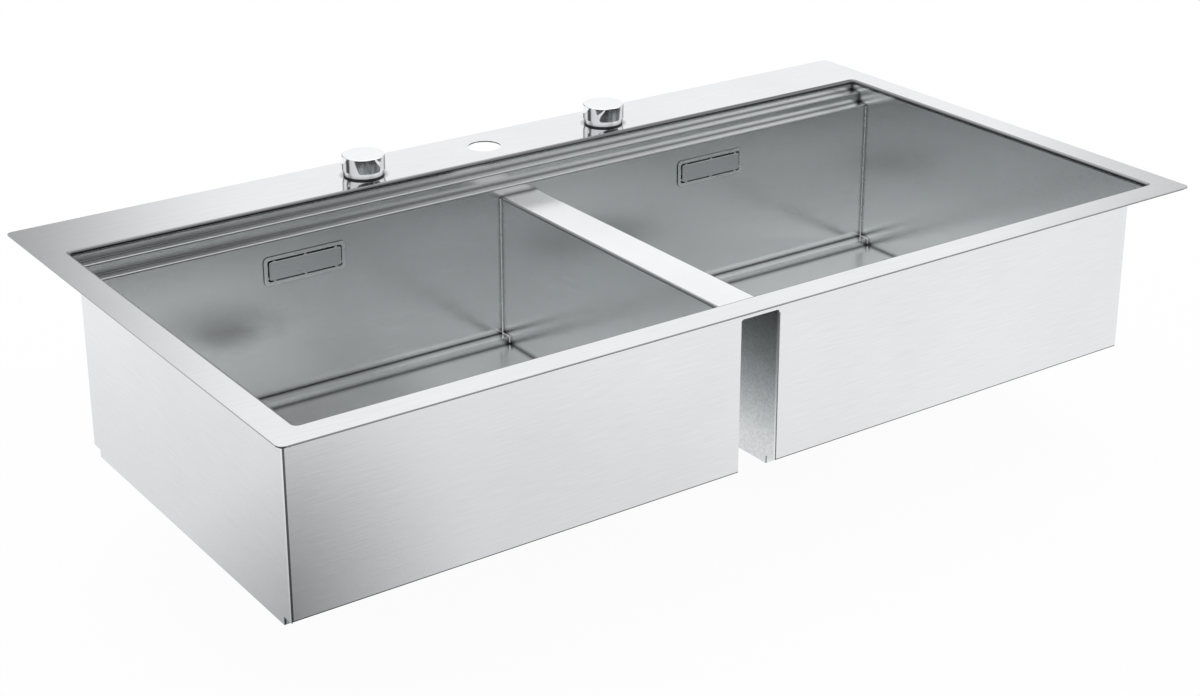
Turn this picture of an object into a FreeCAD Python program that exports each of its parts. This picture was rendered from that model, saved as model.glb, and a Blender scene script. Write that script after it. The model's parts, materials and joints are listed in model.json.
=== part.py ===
"""A double-bowl stainless steel kitchen sink that drops into a worktop.

All lengths are in millimetres. X runs along the sink, Y to the back and Z up. The origin
is the centre of the rim on the worktop's surface, which is the rim seal's underside.
"""
import FreeCAD, Part
import math
import os
import re
import Sketcher

os.makedirs("parts", exist_ok=True)
doc = FreeCAD.newDocument("Sink")

# Driving dimensions, each written once
SIZES = {
    # Rim, a flat sheet with a lip turned down round one opening
    "rim_length": 1024,
    "rim_depth": 560,
    "rim_thick": 1.2,
    "rim_corner": 6,
    "rim_side_width": 26.2,
    "rim_front_width": 26,
    "deck_width": 79,
    "rim_bend": 3.3,
    "opening_corner": 2.4,
    "lip_drop": 5,
    # Seal under the rim
    "seal_thick": 2,
    "seal_inset": 3,
    "seal_width": 9,
    # Folded walls with two ledges, then the shelf and the floor
    "wall_thick": 1,
    "wall_bend": 0.6,
    "ledge_width": 12.7,
    "ledge_drop": 11.7,
    "shelf_width": 13.3,
    "shelf_level": 186.7,
    "floor_level": 194.5,
    # Divider between the bowls
    "gap_width": 44,
    "gap_corner": 2.5,
    "divider_drop": 33,
    "cap_flange": 8,
    "cap_bend": 1.7,
    # Floors, which fall to the drains
    "floor_fall": 3,
    "drain_square": 136,
    "seat_radius": 58,
    "seat_drop": 6,
    "seat_round": 2,
    "waste_hole": 46,
    "pad_thick": 2.5,
    "pad_start_share": 0.06,
    # Drain, measured from the axis of its hole
    "drain_seal_thick": 1.5,
    "drain_seal_inner": 46.6,
    "drain_seal_outer": 54,
    "flange_radius": 55.5,
    "flange_thick": 1.2,
    "throat_radius": 42,
    "throat_drop": 17,
    "seat_ring_inner": 37,
    "flange_edge_round": 0.8,
    "screw_circle": 50.2,
    "screw_radius": 2,
    "screw_head_radius": 3.6,
    "screw_head_rise": 1.6,
    "screw_length": 14,
    "screw_count": 3,
    "cup_gap": 0.6,
    "cup_wall": 3,
    "cup_depth": 50,
    "cup_floor": 3,
    "cup_flange_radius": 56,
    "cup_flange_thick": 5,
    "under_seal_thick": 1.5,
    "outlet_radius": 20,
    "outlet_bore": 17.5,
    "outlet_reach": 92,
    "outlet_drop": 28.5,
    "shoulder_width": 1.2,
    "shoulder_rise": 3,
    "boss_radius": 9,
    "boss_rise": 6,
    # Lift pin, its seal bush and the cable actuator below the cup
    "pin_radius": 3,
    "pin_head_radius": 7,
    "pin_head_thick": 2,
    "pin_foot_length": 8,
    "pin_foot_width": 12,
    "pin_foot_thick": 2,
    "bush_radius": 5.5,
    "lift_travel": 8,
    "wedge_slope_share": 0.5,
    "wedge_thin": 1.5,
    "wedge_end": 3,
    "actuator_length": 54,
    "actuator_width": 34,
    "actuator_height": 24,
    "actuator_wall": 2.2,
    "actuator_round": 4,
    "gland_radius": 5,
    "gland_length": 14,
    "cable_bore": 2.2,
    # Strainer basket
    "basket_wall": 1,
    "basket_radius": 34,
    "basket_rim_width": 5.4,
    "basket_rise": 1,
    "basket_round": 2.2,
    "slot_width": 3.2,
    "slot_height": 8,
    "slot_count": 20,
    "stem_radius": 3.2,
    "grip_radius": 8.5,
    "grip_thick": 3.5,
    "grip_rise": 4,
    "grip_round": 1.2,
    "slot_rise": 2.6,
    "basket_seal_inner": 28,
    "basket_seal_outer": 40.6,
    "basket_seal_thick": 2.4,
    # Overflow in each back wall
    "overflow_drop": 54.7,
    "overflow_length": 90,
    "overflow_height": 29.5,
    "overflow_corner": 2.4,
    "slot_margin_x": 3.2,
    "slot_margin_z": 2.75,
    "frame_proud": 1.2,
    "collar_wall": 0.8,
    "collar_depth": 7,
    "lug_width": 10,
    "lug_thick": 1.2,
    "plate_length": 79.5,
    "plate_height": 19,
    "plate_thick": 1.2,
    "plate_proud": 2.2,
    "plate_round": 0.5,
    "plate_corner": 2,
    "leg_width": 3,
    "leg_thick": 0.8,
    "leg_reach": 6.8,
    "leg_spacing": 34,
    "housing_wall": 3,
    "housing_depth": 26,
    "housing_round": 3,
    "housing_gasket": 1.5,
    "housing_boss": 4.2,
    "housing_screw_length": 12,
    "spigot_radius": 10,
    "spigot_bore": 7.5,
    "spigot_length": 24,
    # Tap hole and the two rotary controls
    "tap_hole_radius": 17.5,
    "tap_from_back": 41.2,
    "control_from_back": 48,
    "control_spacing": 150,
    "knob_radius": 22.25,
    "knob_foot_radius": 20.8,
    "knob_height": 22.4,
    "knob_bevel": 6,
    "knob_edge": 0.9,
    "knob_hollow_radius": 18.6,
    "knob_hollow_depth": 9,
    "knob_boss_radius": 8,
    "base_ring_radius": 21,
    "base_ring_thick": 1.1,
    "base_ring_width": 4.6,
    "sleeve_radius": 16,
    "sleeve_head_radius": 18,
    "sleeve_head_thick": 1.6,
    "sleeve_length": 34,
    "spindle_radius": 5,
    "spindle_fit": 0.05,
    "spindle_drive_depth": 12,
    "washer_radius": 25,
    "washer_thick": 2,
    "nut_flats": 46,
    "nut_thick": 8,
    "box_length": 52,
    "box_width": 40,
    "box_height": 24,
    "box_round": 5,
    "drum_radius": 10,
    "drum_thick": 9,
    "drum_groove": 1.6,
    "drum_room": 12.5,
    # Clearances that all the pieces share
    "moving_gap": 0.3,
    "hole_gap": 0.4,
    "overrun": 2,
}

# Node name to finished object, in the order in which the pieces are built
nodes = {}

book = doc.addObject("Spreadsheet::Sheet", "Sizes")
for row, (alias, size) in enumerate(SIZES.items(), start=1):
    book.set(f"A{row}", alias)
    book.set(f"B{row}", str(size))
    book.setAlias(f"B{row}", alias)
doc.recompute()


def bound(text):
    """An expression with each size's name pointed at its cell of the sheet."""
    return re.sub(r"\b[a-z][a-z_]+[a-z]\b", lambda word: "Sizes." + word.group()
                  if word.group() in SIZES else word.group(), str(text))


def number(text):
    """The value of an expression in named sizes."""
    return float(book.evalExpression(bound(text)))


# Levels and faces that several pieces share, as expressions in the named sizes
TOP = "(seal_thick + rim_thick)"
LIP_END = f"({TOP} - lip_drop)"
LEDGE_1 = f"({TOP} - ledge_drop)"
LEDGE_2 = f"({TOP} - 2 * ledge_drop)"
SHELF = f"({TOP} - shelf_level)"
FLOOR = f"({TOP} - floor_level)"
CAP_TOP = f"({TOP} - divider_drop)"
OPEN_SIDE = "(rim_length / 2 - rim_side_width)"
OPEN_FRONT = "(rim_depth / 2 - rim_front_width)"
OPEN_BACK = "(rim_depth / 2 - deck_width)"
SIDE = f"({OPEN_SIDE} - rim_bend)"
LIP_FRONT = f"(rim_bend - {OPEN_FRONT})"
LIP_BACK = f"({OPEN_BACK} - rim_bend)"
FRONT = f"({LIP_FRONT} + 2 * ledge_width)"
BACK = f"({LIP_BACK} - 2 * ledge_width)"
TRAY_FRONT = f"({FRONT} + shelf_width - wall_thick)"
TRAY_BACK = f"({BACK} - shelf_width + wall_thick)"
INNER = "(gap_width / 2 + wall_thick)"
BOWL_X = f"(({SIDE} + {INNER}) / 2)"
BOWL_Y = f"(({TRAY_FRONT} + {TRAY_BACK}) / 2)"
SEAT = f"({FLOOR} - floor_fall - seat_drop)"
OVERFLOW_Z = f"({TOP} - overflow_drop)"
TAP_Y = "(rim_depth / 2 - tap_from_back)"
CONTROL_Y = "(rim_depth / 2 - control_from_back)"

# Lengths shorter than this count as none, in mm
TRIFLE = 1e-4


def new_body(name, x="0", y="0", z="0"):
    """An empty body for one sub-part, placed by expressions."""
    body = doc.addObject("PartDesign::Body", name)
    body.Label = name
    for axis, text in zip("xyz", (x, y, z)):
        body.setExpression(f"Placement.Base.{axis}", bound(text))
    nodes[name] = body
    return body


def new_sketch(body, name, plane, offset="0"):
    """A sketch on one of the body's own origin planes, raised by an offset."""
    sketch = body.newObject("Sketcher::SketchObject", name)
    found = [item for item in body.Origin.OriginFeatures if item.Role == plane + "_Plane"]
    sketch.AttachmentSupport = (found[0], [""])
    sketch.MapMode = "FlatFace"
    sketch.setExpression("AttachmentOffset.Base.z", bound(offset))
    return sketch


def pin_point(sketch, element, end, x, y):
    """Hold one point of a sketch at expressions for its two coordinates."""
    for kind, text in (("DistanceX", x), ("DistanceY", y)):
        rule = Sketcher.Constraint(kind, -1, 1, element, end, number(text))
        place = sketch.addConstraint(rule)
        sketch.setExpression(f"Constraints[{place}]", bound(text))


def add_outline(sketch, points):
    """A closed outline of straight lines through points given as pairs of expressions."""
    spots = [FreeCAD.Vector(number(x), number(y), 0) for x, y in points]
    first = sketch.GeometryCount
    for here, there in zip(spots, spots[1:] + spots[:1]):
        sketch.addGeometry(Part.LineSegment(here, there))
    for turn in range(len(points)):
        after = first + (turn + 1) % len(points)
        sketch.addConstraint(Sketcher.Constraint("Coincident", first + turn, 2, after, 1))
    for turn, (x, y) in enumerate(points):
        pin_point(sketch, first + turn, 1, x, y)


def add_circle(sketch, radius, x="0", y="0"):
    """A circle held at its centre and by its radius."""
    centre = FreeCAD.Vector(number(x), number(y), 0)
    circle = Part.Circle(centre, FreeCAD.Vector(0, 0, 1), number(radius))
    element = sketch.addGeometry(circle)
    pin_point(sketch, element, 3, x, y)
    place = sketch.addConstraint(Sketcher.Constraint("Radius", element, number(radius)))
    sketch.setExpression(f"Constraints[{place}]", bound(radius))


def box_points(x_low, x_high, y_low, y_high):
    """The corners of a rectangle, in order."""
    return [(x_low, y_low), (x_high, y_low), (x_high, y_high), (x_low, y_high)]


def centred(length, width, x="0", y="0"):
    """The corners of a rectangle round a centre."""
    return box_points(f"{x} - ({length}) / 2", f"{x} + ({length}) / 2",
                      f"{y} - ({width}) / 2", f"{y} + ({width}) / 2")


def pad(sketch, length, reverse=False, middle=False):
    """Thicken a sketch into a solid, or add it to the body's solid."""
    feature = sketch.getParentGeoFeatureGroup().newObject("PartDesign::Pad", "Pad")
    feature.Profile = sketch
    feature.setExpression("Length", bound(length))
    feature.Reversed = reverse
    feature.Midplane = middle
    return feature


def pocket(sketch, length, reverse=False, middle=False):
    """Cut a sketch out of the body's solid."""
    feature = sketch.getParentGeoFeatureGroup().newObject("PartDesign::Pocket", "Pocket")
    feature.Profile = sketch
    feature.setExpression("Length", bound(length))
    feature.Reversed = reverse
    feature.Midplane = middle
    return feature


def rounded(base, radius, chosen):
    """Fillet the edges of a feature for which the test holds."""
    doc.recompute()
    found = [f"Edge{place}" for place, edge in enumerate(base.Shape.Edges, start=1)
             if chosen(edge)]
    feature = base.getParentGeoFeatureGroup().newObject("PartDesign::Fillet", "Fillet")
    feature.Base = (base, found)
    feature.setExpression("Radius", bound(radius))
    return feature


def near(value, text):
    """Whether a measured value is the value of an expression."""
    return abs(value - number(text)) < number("moving_gap") / 3


def inside(edge, half_x, half_y):
    """Whether an edge lies within a distance of the origin along X and along Y."""
    box = edge.BoundBox
    return (max(abs(box.XMin), abs(box.XMax)) < number(half_x)
            and max(abs(box.YMin), abs(box.YMax)) < number(half_y))


def spans(edge, axis):
    """Whether a straight edge runs along one axis only."""
    box = edge.BoundBox
    lengths = {"x": box.XLength, "y": box.YLength, "z": box.ZLength}
    along = lengths.pop(axis)
    return along > TRIFLE and max(lengths.values()) < TRIFLE


def turned(name, profile, x="0", y="0", z="0"):
    """A body turned about its own Z axis from an outline of radii and heights."""
    body = new_body(name, x, y, z)
    sketch = new_sketch(body, name + "_profile", "XZ")
    add_outline(sketch, profile)
    feature = body.newObject("PartDesign::Revolution", "Turn")
    feature.Profile = sketch
    feature.ReferenceAxis = (sketch, ["V_Axis"])
    feature.Angle = 360
    return body, feature


def ring_points(inner, outer, low, high):
    """The section of a plain ring."""
    return box_points(inner, outer, low, high)


def holes_round(body, sketch_offset, circle, radius, depth, count, up=False):
    """A ring of equal round holes about the body's Z axis."""
    sketch = new_sketch(body, "hole", "XY", sketch_offset)
    add_circle(sketch, radius, circle)
    cut = pocket(sketch, depth, reverse=up)
    pattern = body.newObject("PartDesign::PolarPattern", "Holes")
    pattern.Originals = [cut]
    pattern.Axis = (sketch, ["N_Axis"])
    pattern.Angle = 360
    pattern.setExpression("Occurrences", bound(count))
    body.Tip = pattern
    return pattern


def folded_sheet(body, points, length):
    """A sheet folded to an outline in the YZ plane, with a radius at each bend.

    The first half of the points is one face of the sheet and the second half the other.
    """
    sketch = new_sketch(body, "folds", "YZ")
    add_outline(sketch, points)
    sheet = pad(sketch, length, middle=True)
    spots = [(number(y), number(z)) for y, z in points]
    half = len(spots) // 2
    ends = (0, half - 1, half, len(spots) - 1)
    turns = {True: [], False: []}
    area = sum(a[0] * b[1] - b[0] * a[1] for a, b in zip(spots, spots[1:] + spots[:1]))
    for place, here in enumerate(spots):
        before = spots[place - 1]
        after = spots[(place + 1) % len(spots)]
        cross = ((here[0] - before[0]) * (after[1] - here[1])
                 - (here[1] - before[1]) * (after[0] - here[0]))
        if place not in ends:
            turns[cross * area > 0].append(here)

    def at_turn(outward):
        def chosen(edge):
            middle = edge.BoundBox.Center
            return spans(edge, "x") and any(
                abs(middle.y - y) + abs(middle.z - z) < TRIFLE for y, z in turns[outward])
        return chosen

    inside = rounded(sheet, "wall_bend", at_turn(False))
    return rounded(inside, "wall_bend + wall_thick", at_turn(True))


def rim():
    """The flat rim with its lip turned down round the opening, and its three holes."""
    body = new_body("deck_plate", z="seal_thick")
    flat = new_sketch(body, "outline", "XY")
    add_outline(flat, centred("rim_length", "rim_depth"))
    plate = pad(flat, "rim_thick")
    rounded(plate, "rim_corner", lambda edge: spans(edge, "z"))
    lip = new_sketch(body, "lip", "XY")
    add_outline(lip, box_points(f"-{SIDE} - rim_thick", f"{SIDE} + rim_thick",
                                f"{LIP_FRONT} - rim_thick", f"{LIP_BACK} + rim_thick"))
    turned_down = pad(lip, "lip_drop - rim_thick", reverse=True)
    lip_low = "-(lip_drop - rim_thick)"
    corners = rounded(turned_down, "opening_corner + rim_thick",
                      lambda edge: spans(edge, "z") and near(edge.BoundBox.ZMin, lip_low))
    rounded(corners, "rim_bend - rim_thick",
            lambda edge: near(edge.BoundBox.ZMax, "0") and near(edge.BoundBox.ZMin, "0")
            and inside(edge, OPEN_SIDE, OPEN_FRONT))
    hole = new_sketch(body, "opening", "XY", "rim_thick + overrun")
    add_outline(hole, box_points(f"-{SIDE}", SIDE, LIP_FRONT, LIP_BACK))
    opening = pocket(hole, "lip_drop + 2 * overrun")
    round_corners = rounded(opening, "opening_corner",
                            lambda edge: spans(edge, "z")
                            and near(edge.BoundBox.ZMin, lip_low)
                            and near(edge.BoundBox.ZMax, "rim_thick"))
    rounded(round_corners, "rim_bend",
            lambda edge: near(edge.BoundBox.ZMin, "rim_thick")
            and inside(edge, OPEN_SIDE, OPEN_FRONT))
    holes = new_sketch(body, "holes", "XY", "rim_thick + overrun")
    add_circle(holes, "tap_hole_radius", "0", TAP_Y)
    for side in ("-", ""):
        add_circle(holes, "sleeve_radius + hole_gap", f"{side}control_spacing", CONTROL_Y)
    pocket(holes, "rim_thick + 2 * overrun")


def rim_seal():
    """The foam strip that lies between the rim and the worktop."""
    body = new_body("rim_seal")
    strip = new_sketch(body, "strip", "XY")
    add_outline(strip, centred("rim_length - 2 * seal_inset", "rim_depth - 2 * seal_inset"))
    add_outline(strip, centred("rim_length - 2 * seal_inset - 2 * seal_width",
                               "rim_depth - 2 * seal_inset - 2 * seal_width"))
    strip_pad = pad(strip, "seal_thick")
    rounded(strip_pad, "rim_corner - seal_inset",
            lambda edge: spans(edge, "z")
            and abs(edge.BoundBox.XMax) > number("rim_length / 2 - seal_inset - seal_width / 2"))


def wall_points(face, inward):
    """The section of a wall: down from the lip, over two ledges, to the shelf."""
    lean = f"{inward} * "
    riser_1 = face
    riser_2 = f"{face} + {lean}ledge_width"
    wall = f"{face} + {lean}2 * ledge_width"
    shelf = f"{face} + {lean}(2 * ledge_width + shelf_width - wall_thick)"
    out = f" - {lean}wall_thick"
    inner = [
        (riser_1, LIP_END),
        (riser_1, LEDGE_1),
        (riser_2, LEDGE_1),
        (riser_2, LEDGE_2),
        (wall, LEDGE_2),
        (wall, SHELF),
        (shelf, SHELF),
    ]
    outer = [
        (shelf, f"{SHELF} - wall_thick"),
        (wall + out, f"{SHELF} - wall_thick"),
        (wall + out, f"{LEDGE_2} - wall_thick"),
        (riser_2 + out, f"{LEDGE_2} - wall_thick"),
        (riser_2 + out, f"{LEDGE_1} - wall_thick"),
        (riser_1 + out, f"{LEDGE_1} - wall_thick"),
        (riser_1 + out, LIP_END),
    ]
    return inner + outer


def folded_wall(name, face, inward):
    """One long wall with its ledges and shelf, notched between the bowls."""
    body = new_body(name)
    sheet = folded_sheet(body, wall_points(face, inward), f"2 * {SIDE}")
    notch = new_sketch(body, "notch", "XZ")
    low = f"{SHELF} - wall_thick - overrun"
    add_outline(notch, box_points("-gap_width / 2", "gap_width / 2", low,
                                  f"{CAP_TOP} - wall_thick"))
    cut = pocket(notch, "rim_depth", middle=True)
    return rounded(cut, "gap_corner",
                   lambda edge: spans(edge, "y")
                   and near(edge.BoundBox.ZMax, f"{CAP_TOP} - wall_thick")
                   and near(abs(edge.BoundBox.XMax), "gap_width / 2"))


def walls():
    """The front wall, and the back wall with its two overflow slots."""
    folded_wall("front_wall", LIP_FRONT, "1")
    folded_wall("back_wall", LIP_BACK, "-1")
    body = nodes["back_wall"]
    slots = new_sketch(body, "slots", "XZ")
    for side in ("-", ""):
        add_outline(slots, centred("overflow_length - 2 * slot_margin_x",
                                   "overflow_height - 2 * slot_margin_z",
                                   f"{side}{BOWL_X}", OVERFLOW_Z))
    pocket(slots, "rim_depth", middle=True)


def end_plates():
    """The flat plates that close the ends of the folded walls."""
    front = f"({LIP_FRONT} - wall_thick)"
    back = f"({LIP_BACK} + wall_thick)"
    steps = [("0", LIP_END, f"{LEDGE_1} - wall_thick"),
             ("ledge_width", None, f"{LEDGE_2} - wall_thick"),
             ("2 * ledge_width", None, f"{SHELF} - wall_thick"),
             ("2 * ledge_width + shelf_width", None, f"{FLOOR} - wall_thick")]
    down = []
    for shift, start, end in steps:
        down.append((shift, start or down[-1][1]))
        down.append((shift, end))
    points = [(f"{front} + {shift}", level) for shift, level in down]
    points += [(f"{back} - ({shift})", level) for shift, level in reversed(down)]
    for name, side, reverse in (("end_plate_left", "-", True), ("end_plate_right", "", False)):
        body = new_body(name, x=f"{side}{SIDE}")
        sketch = new_sketch(body, "outline", "YZ")
        add_outline(sketch, points)
        pad(sketch, "wall_thick", reverse=reverse)


def inner_plates():
    """The flat plates on both sides of the gap between the bowls."""
    points = [
        (FRONT, f"{CAP_TOP} - cap_flange"),
        (FRONT, SHELF),
        (TRAY_FRONT, SHELF),
        (TRAY_FRONT, f"{FLOOR} - wall_thick"),
        (TRAY_BACK, f"{FLOOR} - wall_thick"),
        (TRAY_BACK, SHELF),
        (BACK, SHELF),
        (BACK, f"{CAP_TOP} - cap_flange"),
    ]
    for name, side, reverse in (("inner_plate_left", "-", True),
                                ("inner_plate_right", "", False)):
        body = new_body(name, x=f"{side}gap_width / 2")
        sketch = new_sketch(body, "outline", "YZ")
        add_outline(sketch, points)
        plate = pad(sketch, "wall_thick", reverse=reverse)
        rounded(plate, "wall_bend",
                lambda edge: spans(edge, "x") and near(edge.BoundBox.ZMin, SHELF)
                and (near(edge.BoundBox.YMin, FRONT) or near(edge.BoundBox.YMin, BACK)))


def divider_cap():
    """The channel that bridges the two inner plates, its edges bent down."""
    body = new_body("divider_cap", y=f"({FRONT} + {BACK}) / 2")
    end = f"{CAP_TOP} - cap_flange"
    sketch = new_sketch(body, "channel", "XZ")
    add_outline(sketch, [
        (f"-{INNER}", end),
        (f"-{INNER}", CAP_TOP),
        (INNER, CAP_TOP),
        (INNER, end),
        ("gap_width / 2", end),
        ("gap_width / 2", f"{CAP_TOP} - wall_thick"),
        ("-gap_width / 2", f"{CAP_TOP} - wall_thick"),
        ("-gap_width / 2", end),
    ])
    channel = pad(sketch, f"{BACK} - {FRONT}", middle=True)
    inside = rounded(channel, "cap_bend",
                     lambda edge: spans(edge, "y")
                     and near(edge.BoundBox.ZMax, f"{CAP_TOP} - wall_thick"))
    rounded(inside, "cap_bend + wall_thick",
            lambda edge: spans(edge, "y") and near(edge.BoundBox.ZMax, CAP_TOP))


def creased(body, kind, level, outer_x, outer_y, drop):
    """A loft from a rectangle down to the square round the drain, along four creases."""
    wide = new_sketch(body, "wide", "XY", level)
    add_outline(wide, centred(outer_x, outer_y))
    narrow = new_sketch(body, "narrow", "XY", f"{level} - {drop}")
    add_outline(narrow, centred("drain_square", "drain_square"))
    loft = body.newObject("PartDesign::" + kind, kind)
    loft.Profile = wide
    loft.Sections = [narrow]
    loft.Ruled = True


def floors():
    """The bowl floors: trays that fall along four creases to a recessed drain seat."""
    length = f"({SIDE} - {INNER})"
    width = f"({TRAY_BACK} - {TRAY_FRONT})"
    clear = f"({width} - 2 * wall_thick)"
    for name, side in (("floor_left", "-"), ("floor_right", "")):
        body = new_body(name, f"{side}{BOWL_X}", BOWL_Y, FLOOR)
        slab = new_sketch(body, "slab", "XY")
        add_outline(slab, centred(length, width))
        pad(slab, "wall_thick", reverse=True)
        creased(body, "AdditiveLoft", "-wall_thick", length, clear, "floor_fall")
        creased(body, "SubtractiveLoft", "0", length, clear, "floor_fall")
        for edge in ("-", ""):
            strip = new_sketch(body, "riser", "XY", "-wall_thick")
            middle = f"({edge}({width} - wall_thick) / 2)"
            add_outline(strip, centred(length, "wall_thick", y=middle))
            pad(strip, "floor_level - shelf_level + wall_thick")
        dish = new_sketch(body, "dish", "XY", "-floor_fall - wall_thick")
        add_circle(dish, "seat_radius + wall_thick")
        pad(dish, "seat_drop", reverse=True)
        hollow = new_sketch(body, "hollow", "XY")
        add_circle(hollow, "seat_radius")
        seat = pocket(hollow, "floor_fall + seat_drop")
        rounded(seat, "seat_round",
                lambda edge: near(edge.BoundBox.ZMax, "-floor_fall")
                and near(edge.BoundBox.XLength, "2 * seat_radius"))
        hole = new_sketch(body, "hole", "XY")
        add_circle(hole, "waste_hole")
        depth = "floor_fall + seat_drop + wall_thick + overrun"
        pocket(hole, depth)
        holes_round(body, "0", "screw_circle", "screw_radius + hole_gap", depth, "screw_count")


def sound_pads():
    """The damping pads glued under the floors, which follow their creases."""
    length = f"({SIDE} - {INNER})"
    clear = f"({TRAY_BACK} - {TRAY_FRONT} - 2 * wall_thick)"
    keep = "(1 - pad_start_share)"
    wide_x = f"({length} * {keep} + drain_square * pad_start_share)"
    wide_y = f"({clear} * {keep} + drain_square * pad_start_share)"
    edge = "(-floor_fall * pad_start_share)"
    for name, side in (("sound_pad_left", "-"), ("sound_pad_right", "")):
        body = new_body(name, f"{side}{BOWL_X}", BOWL_Y, f"{FLOOR} - wall_thick")
        slab = new_sketch(body, "slab", "XY", f"{edge} - pad_thick")
        add_outline(slab, centred(wide_x, wide_y))
        pad(slab, "pad_thick")
        drop = f"(floor_fall * {keep})"
        creased(body, "AdditiveLoft", f"{edge} - pad_thick", wide_x, wide_y, drop)
        creased(body, "SubtractiveLoft", edge, wide_x, wide_y, drop)
        hole = new_sketch(body, "hole", "XY")
        add_outline(hole, centred("drain_square", "drain_square"))
        pocket(hole, "floor_fall + pad_thick + overrun")


# Levels at each drain, measured from the floor's seat round the hole
FLANGE_TOP = "(drain_seal_thick + flange_thick)"
UNDER = "(-wall_thick - under_seal_thick)"
CUP_INNER = "(throat_radius + flange_thick + cup_gap)"
CUP_OUTER = f"({CUP_INNER} + cup_wall)"
CUP_LOW = f"({UNDER} - cup_depth)"
SEAT_RING = "(-throat_drop + flange_thick)"
BASKET_LOW = f"({SEAT_RING} + moving_gap + basket_seal_thick)"
SCREW_HOLE = "(screw_radius + hole_gap)"
PIN_HOLE = "(pin_radius + spindle_fit)"
WEDGE_TRAVEL = "(lift_travel / wedge_slope_share)"
WEDGE_FLOOR = f"({CUP_LOW} - actuator_height + actuator_wall + moving_gap)"


def drain_rings(hand, place):
    """The flange in the floor's seat, and the seals above and below the floor."""
    top = f"{FLANGE_TOP} + overrun"
    seal, _ = turned("drain_seal_" + hand,
                     ring_points("drain_seal_inner", "drain_seal_outer", "0",
                                 "drain_seal_thick"), *place)
    holes_round(seal, top, "screw_circle", SCREW_HOLE, f"{top} + overrun", "screw_count")
    flange, ring = turned("drain_flange_" + hand, [
        ("throat_radius", FLANGE_TOP),
        ("flange_radius", FLANGE_TOP),
        ("flange_radius", "drain_seal_thick"),
        ("throat_radius + flange_thick", "drain_seal_thick"),
        ("throat_radius + flange_thick", "-throat_drop"),
        ("seat_ring_inner", "-throat_drop"),
        ("seat_ring_inner", SEAT_RING),
        ("throat_radius", SEAT_RING),
    ], *place)
    rounded(ring, "flange_edge_round",
            lambda edge: near(edge.BoundBox.ZMin, FLANGE_TOP) and edge.BoundBox.XLength > 0)
    holes_round(flange, top, "screw_circle", SCREW_HOLE, f"{top} + overrun", "screw_count")
    lower, _ = turned("under_seal_" + hand,
                      ring_points("drain_seal_inner", "drain_seal_outer", UNDER,
                                  "-wall_thick"), *place)
    holes_round(lower, top, "screw_circle", SCREW_HOLE,
                f"{top} - {UNDER} + overrun", "screw_count")


def waste_cup(hand, place):
    """The moulded cup under the floor, with its shouldered outlet and the boss for the pin."""
    body, _ = turned("waste_body_" + hand, [
        ("0", UNDER),
        ("cup_flange_radius", UNDER),
        ("cup_flange_radius", f"{UNDER} - cup_flange_thick"),
        (CUP_OUTER, f"{UNDER} - cup_flange_thick"),
        (CUP_OUTER, CUP_LOW),
        ("0", CUP_LOW),
    ], *place)
    axis = f"({UNDER} - outlet_drop)"
    shoulder_face = f"({CUP_OUTER} + shoulder_rise)"
    for radius, end in (("outlet_radius", "outlet_reach"),
                        ("outlet_radius + shoulder_width", shoulder_face)):
        tube = new_sketch(body, "tube", "XZ", f"-{end}")
        add_circle(tube, radius, "0", axis)
        pad(tube, f"{end} - {CUP_OUTER} / 2")
    hollow = new_sketch(body, "hollow", "XY", UNDER)
    add_circle(hollow, CUP_INNER)
    pocket(hollow, "cup_depth - cup_floor")
    boss = new_sketch(body, "boss", "XY", f"{CUP_LOW} + cup_floor")
    add_circle(boss, "boss_radius")
    pad(boss, "boss_rise")
    for radius, depth in (("bush_radius", "boss_rise"),
                          (PIN_HOLE, "boss_rise + cup_floor + overrun")):
        hole = new_sketch(body, "hole", "XY", f"{CUP_LOW} + cup_floor + boss_rise")
        add_circle(hole, radius)
        pocket(hole, depth)
    bore = new_sketch(body, "bore", "XZ", "-outlet_reach - overrun")
    add_circle(bore, "outlet_bore", "0", axis)
    pocket(bore, f"outlet_reach + overrun - {CUP_INNER} / 2", reverse=True)
    holes_round(body, UNDER, "screw_circle", "screw_radius",
                "cup_flange_thick + overrun", "screw_count")


def pin_and_bush(hand, place):
    """The lift pin with its sloping foot, and the seal bush that it slides in."""
    turned("pin_bush_" + hand, [
        (PIN_HOLE, f"{CUP_LOW} + cup_floor"),
        ("bush_radius - spindle_fit", f"{CUP_LOW} + cup_floor"),
        ("bush_radius - spindle_fit", f"{CUP_LOW} + cup_floor + boss_rise"),
        (PIN_HOLE, f"{CUP_LOW} + cup_floor + boss_rise"),
    ], *place)
    middle = "wedge_thin + wedge_slope_share * pin_foot_length"
    foot_top = f"({WEDGE_FLOOR} + {middle} + moving_gap + pin_foot_thick)"
    head_top = f"({BASKET_LOW} - moving_gap)"
    body, _ = turned("lift_pin_" + hand, [
        ("0", foot_top),
        ("pin_radius", foot_top),
        ("pin_radius", f"{head_top} - pin_head_thick"),
        ("pin_head_radius", f"{head_top} - pin_head_thick"),
        ("pin_head_radius", head_top),
        ("0", head_top),
    ], *place)
    foot = new_sketch(body, "foot", "XZ")
    low = f"{WEDGE_FLOOR} + moving_gap + wedge_thin"
    add_outline(foot, [
        ("-pin_foot_length / 2", low),
        ("pin_foot_length / 2", f"{low} + wedge_slope_share * pin_foot_length"),
        ("pin_foot_length / 2", foot_top),
        ("-pin_foot_length / 2", foot_top),
    ])
    pad(foot, "pin_foot_width", middle=True)


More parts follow.
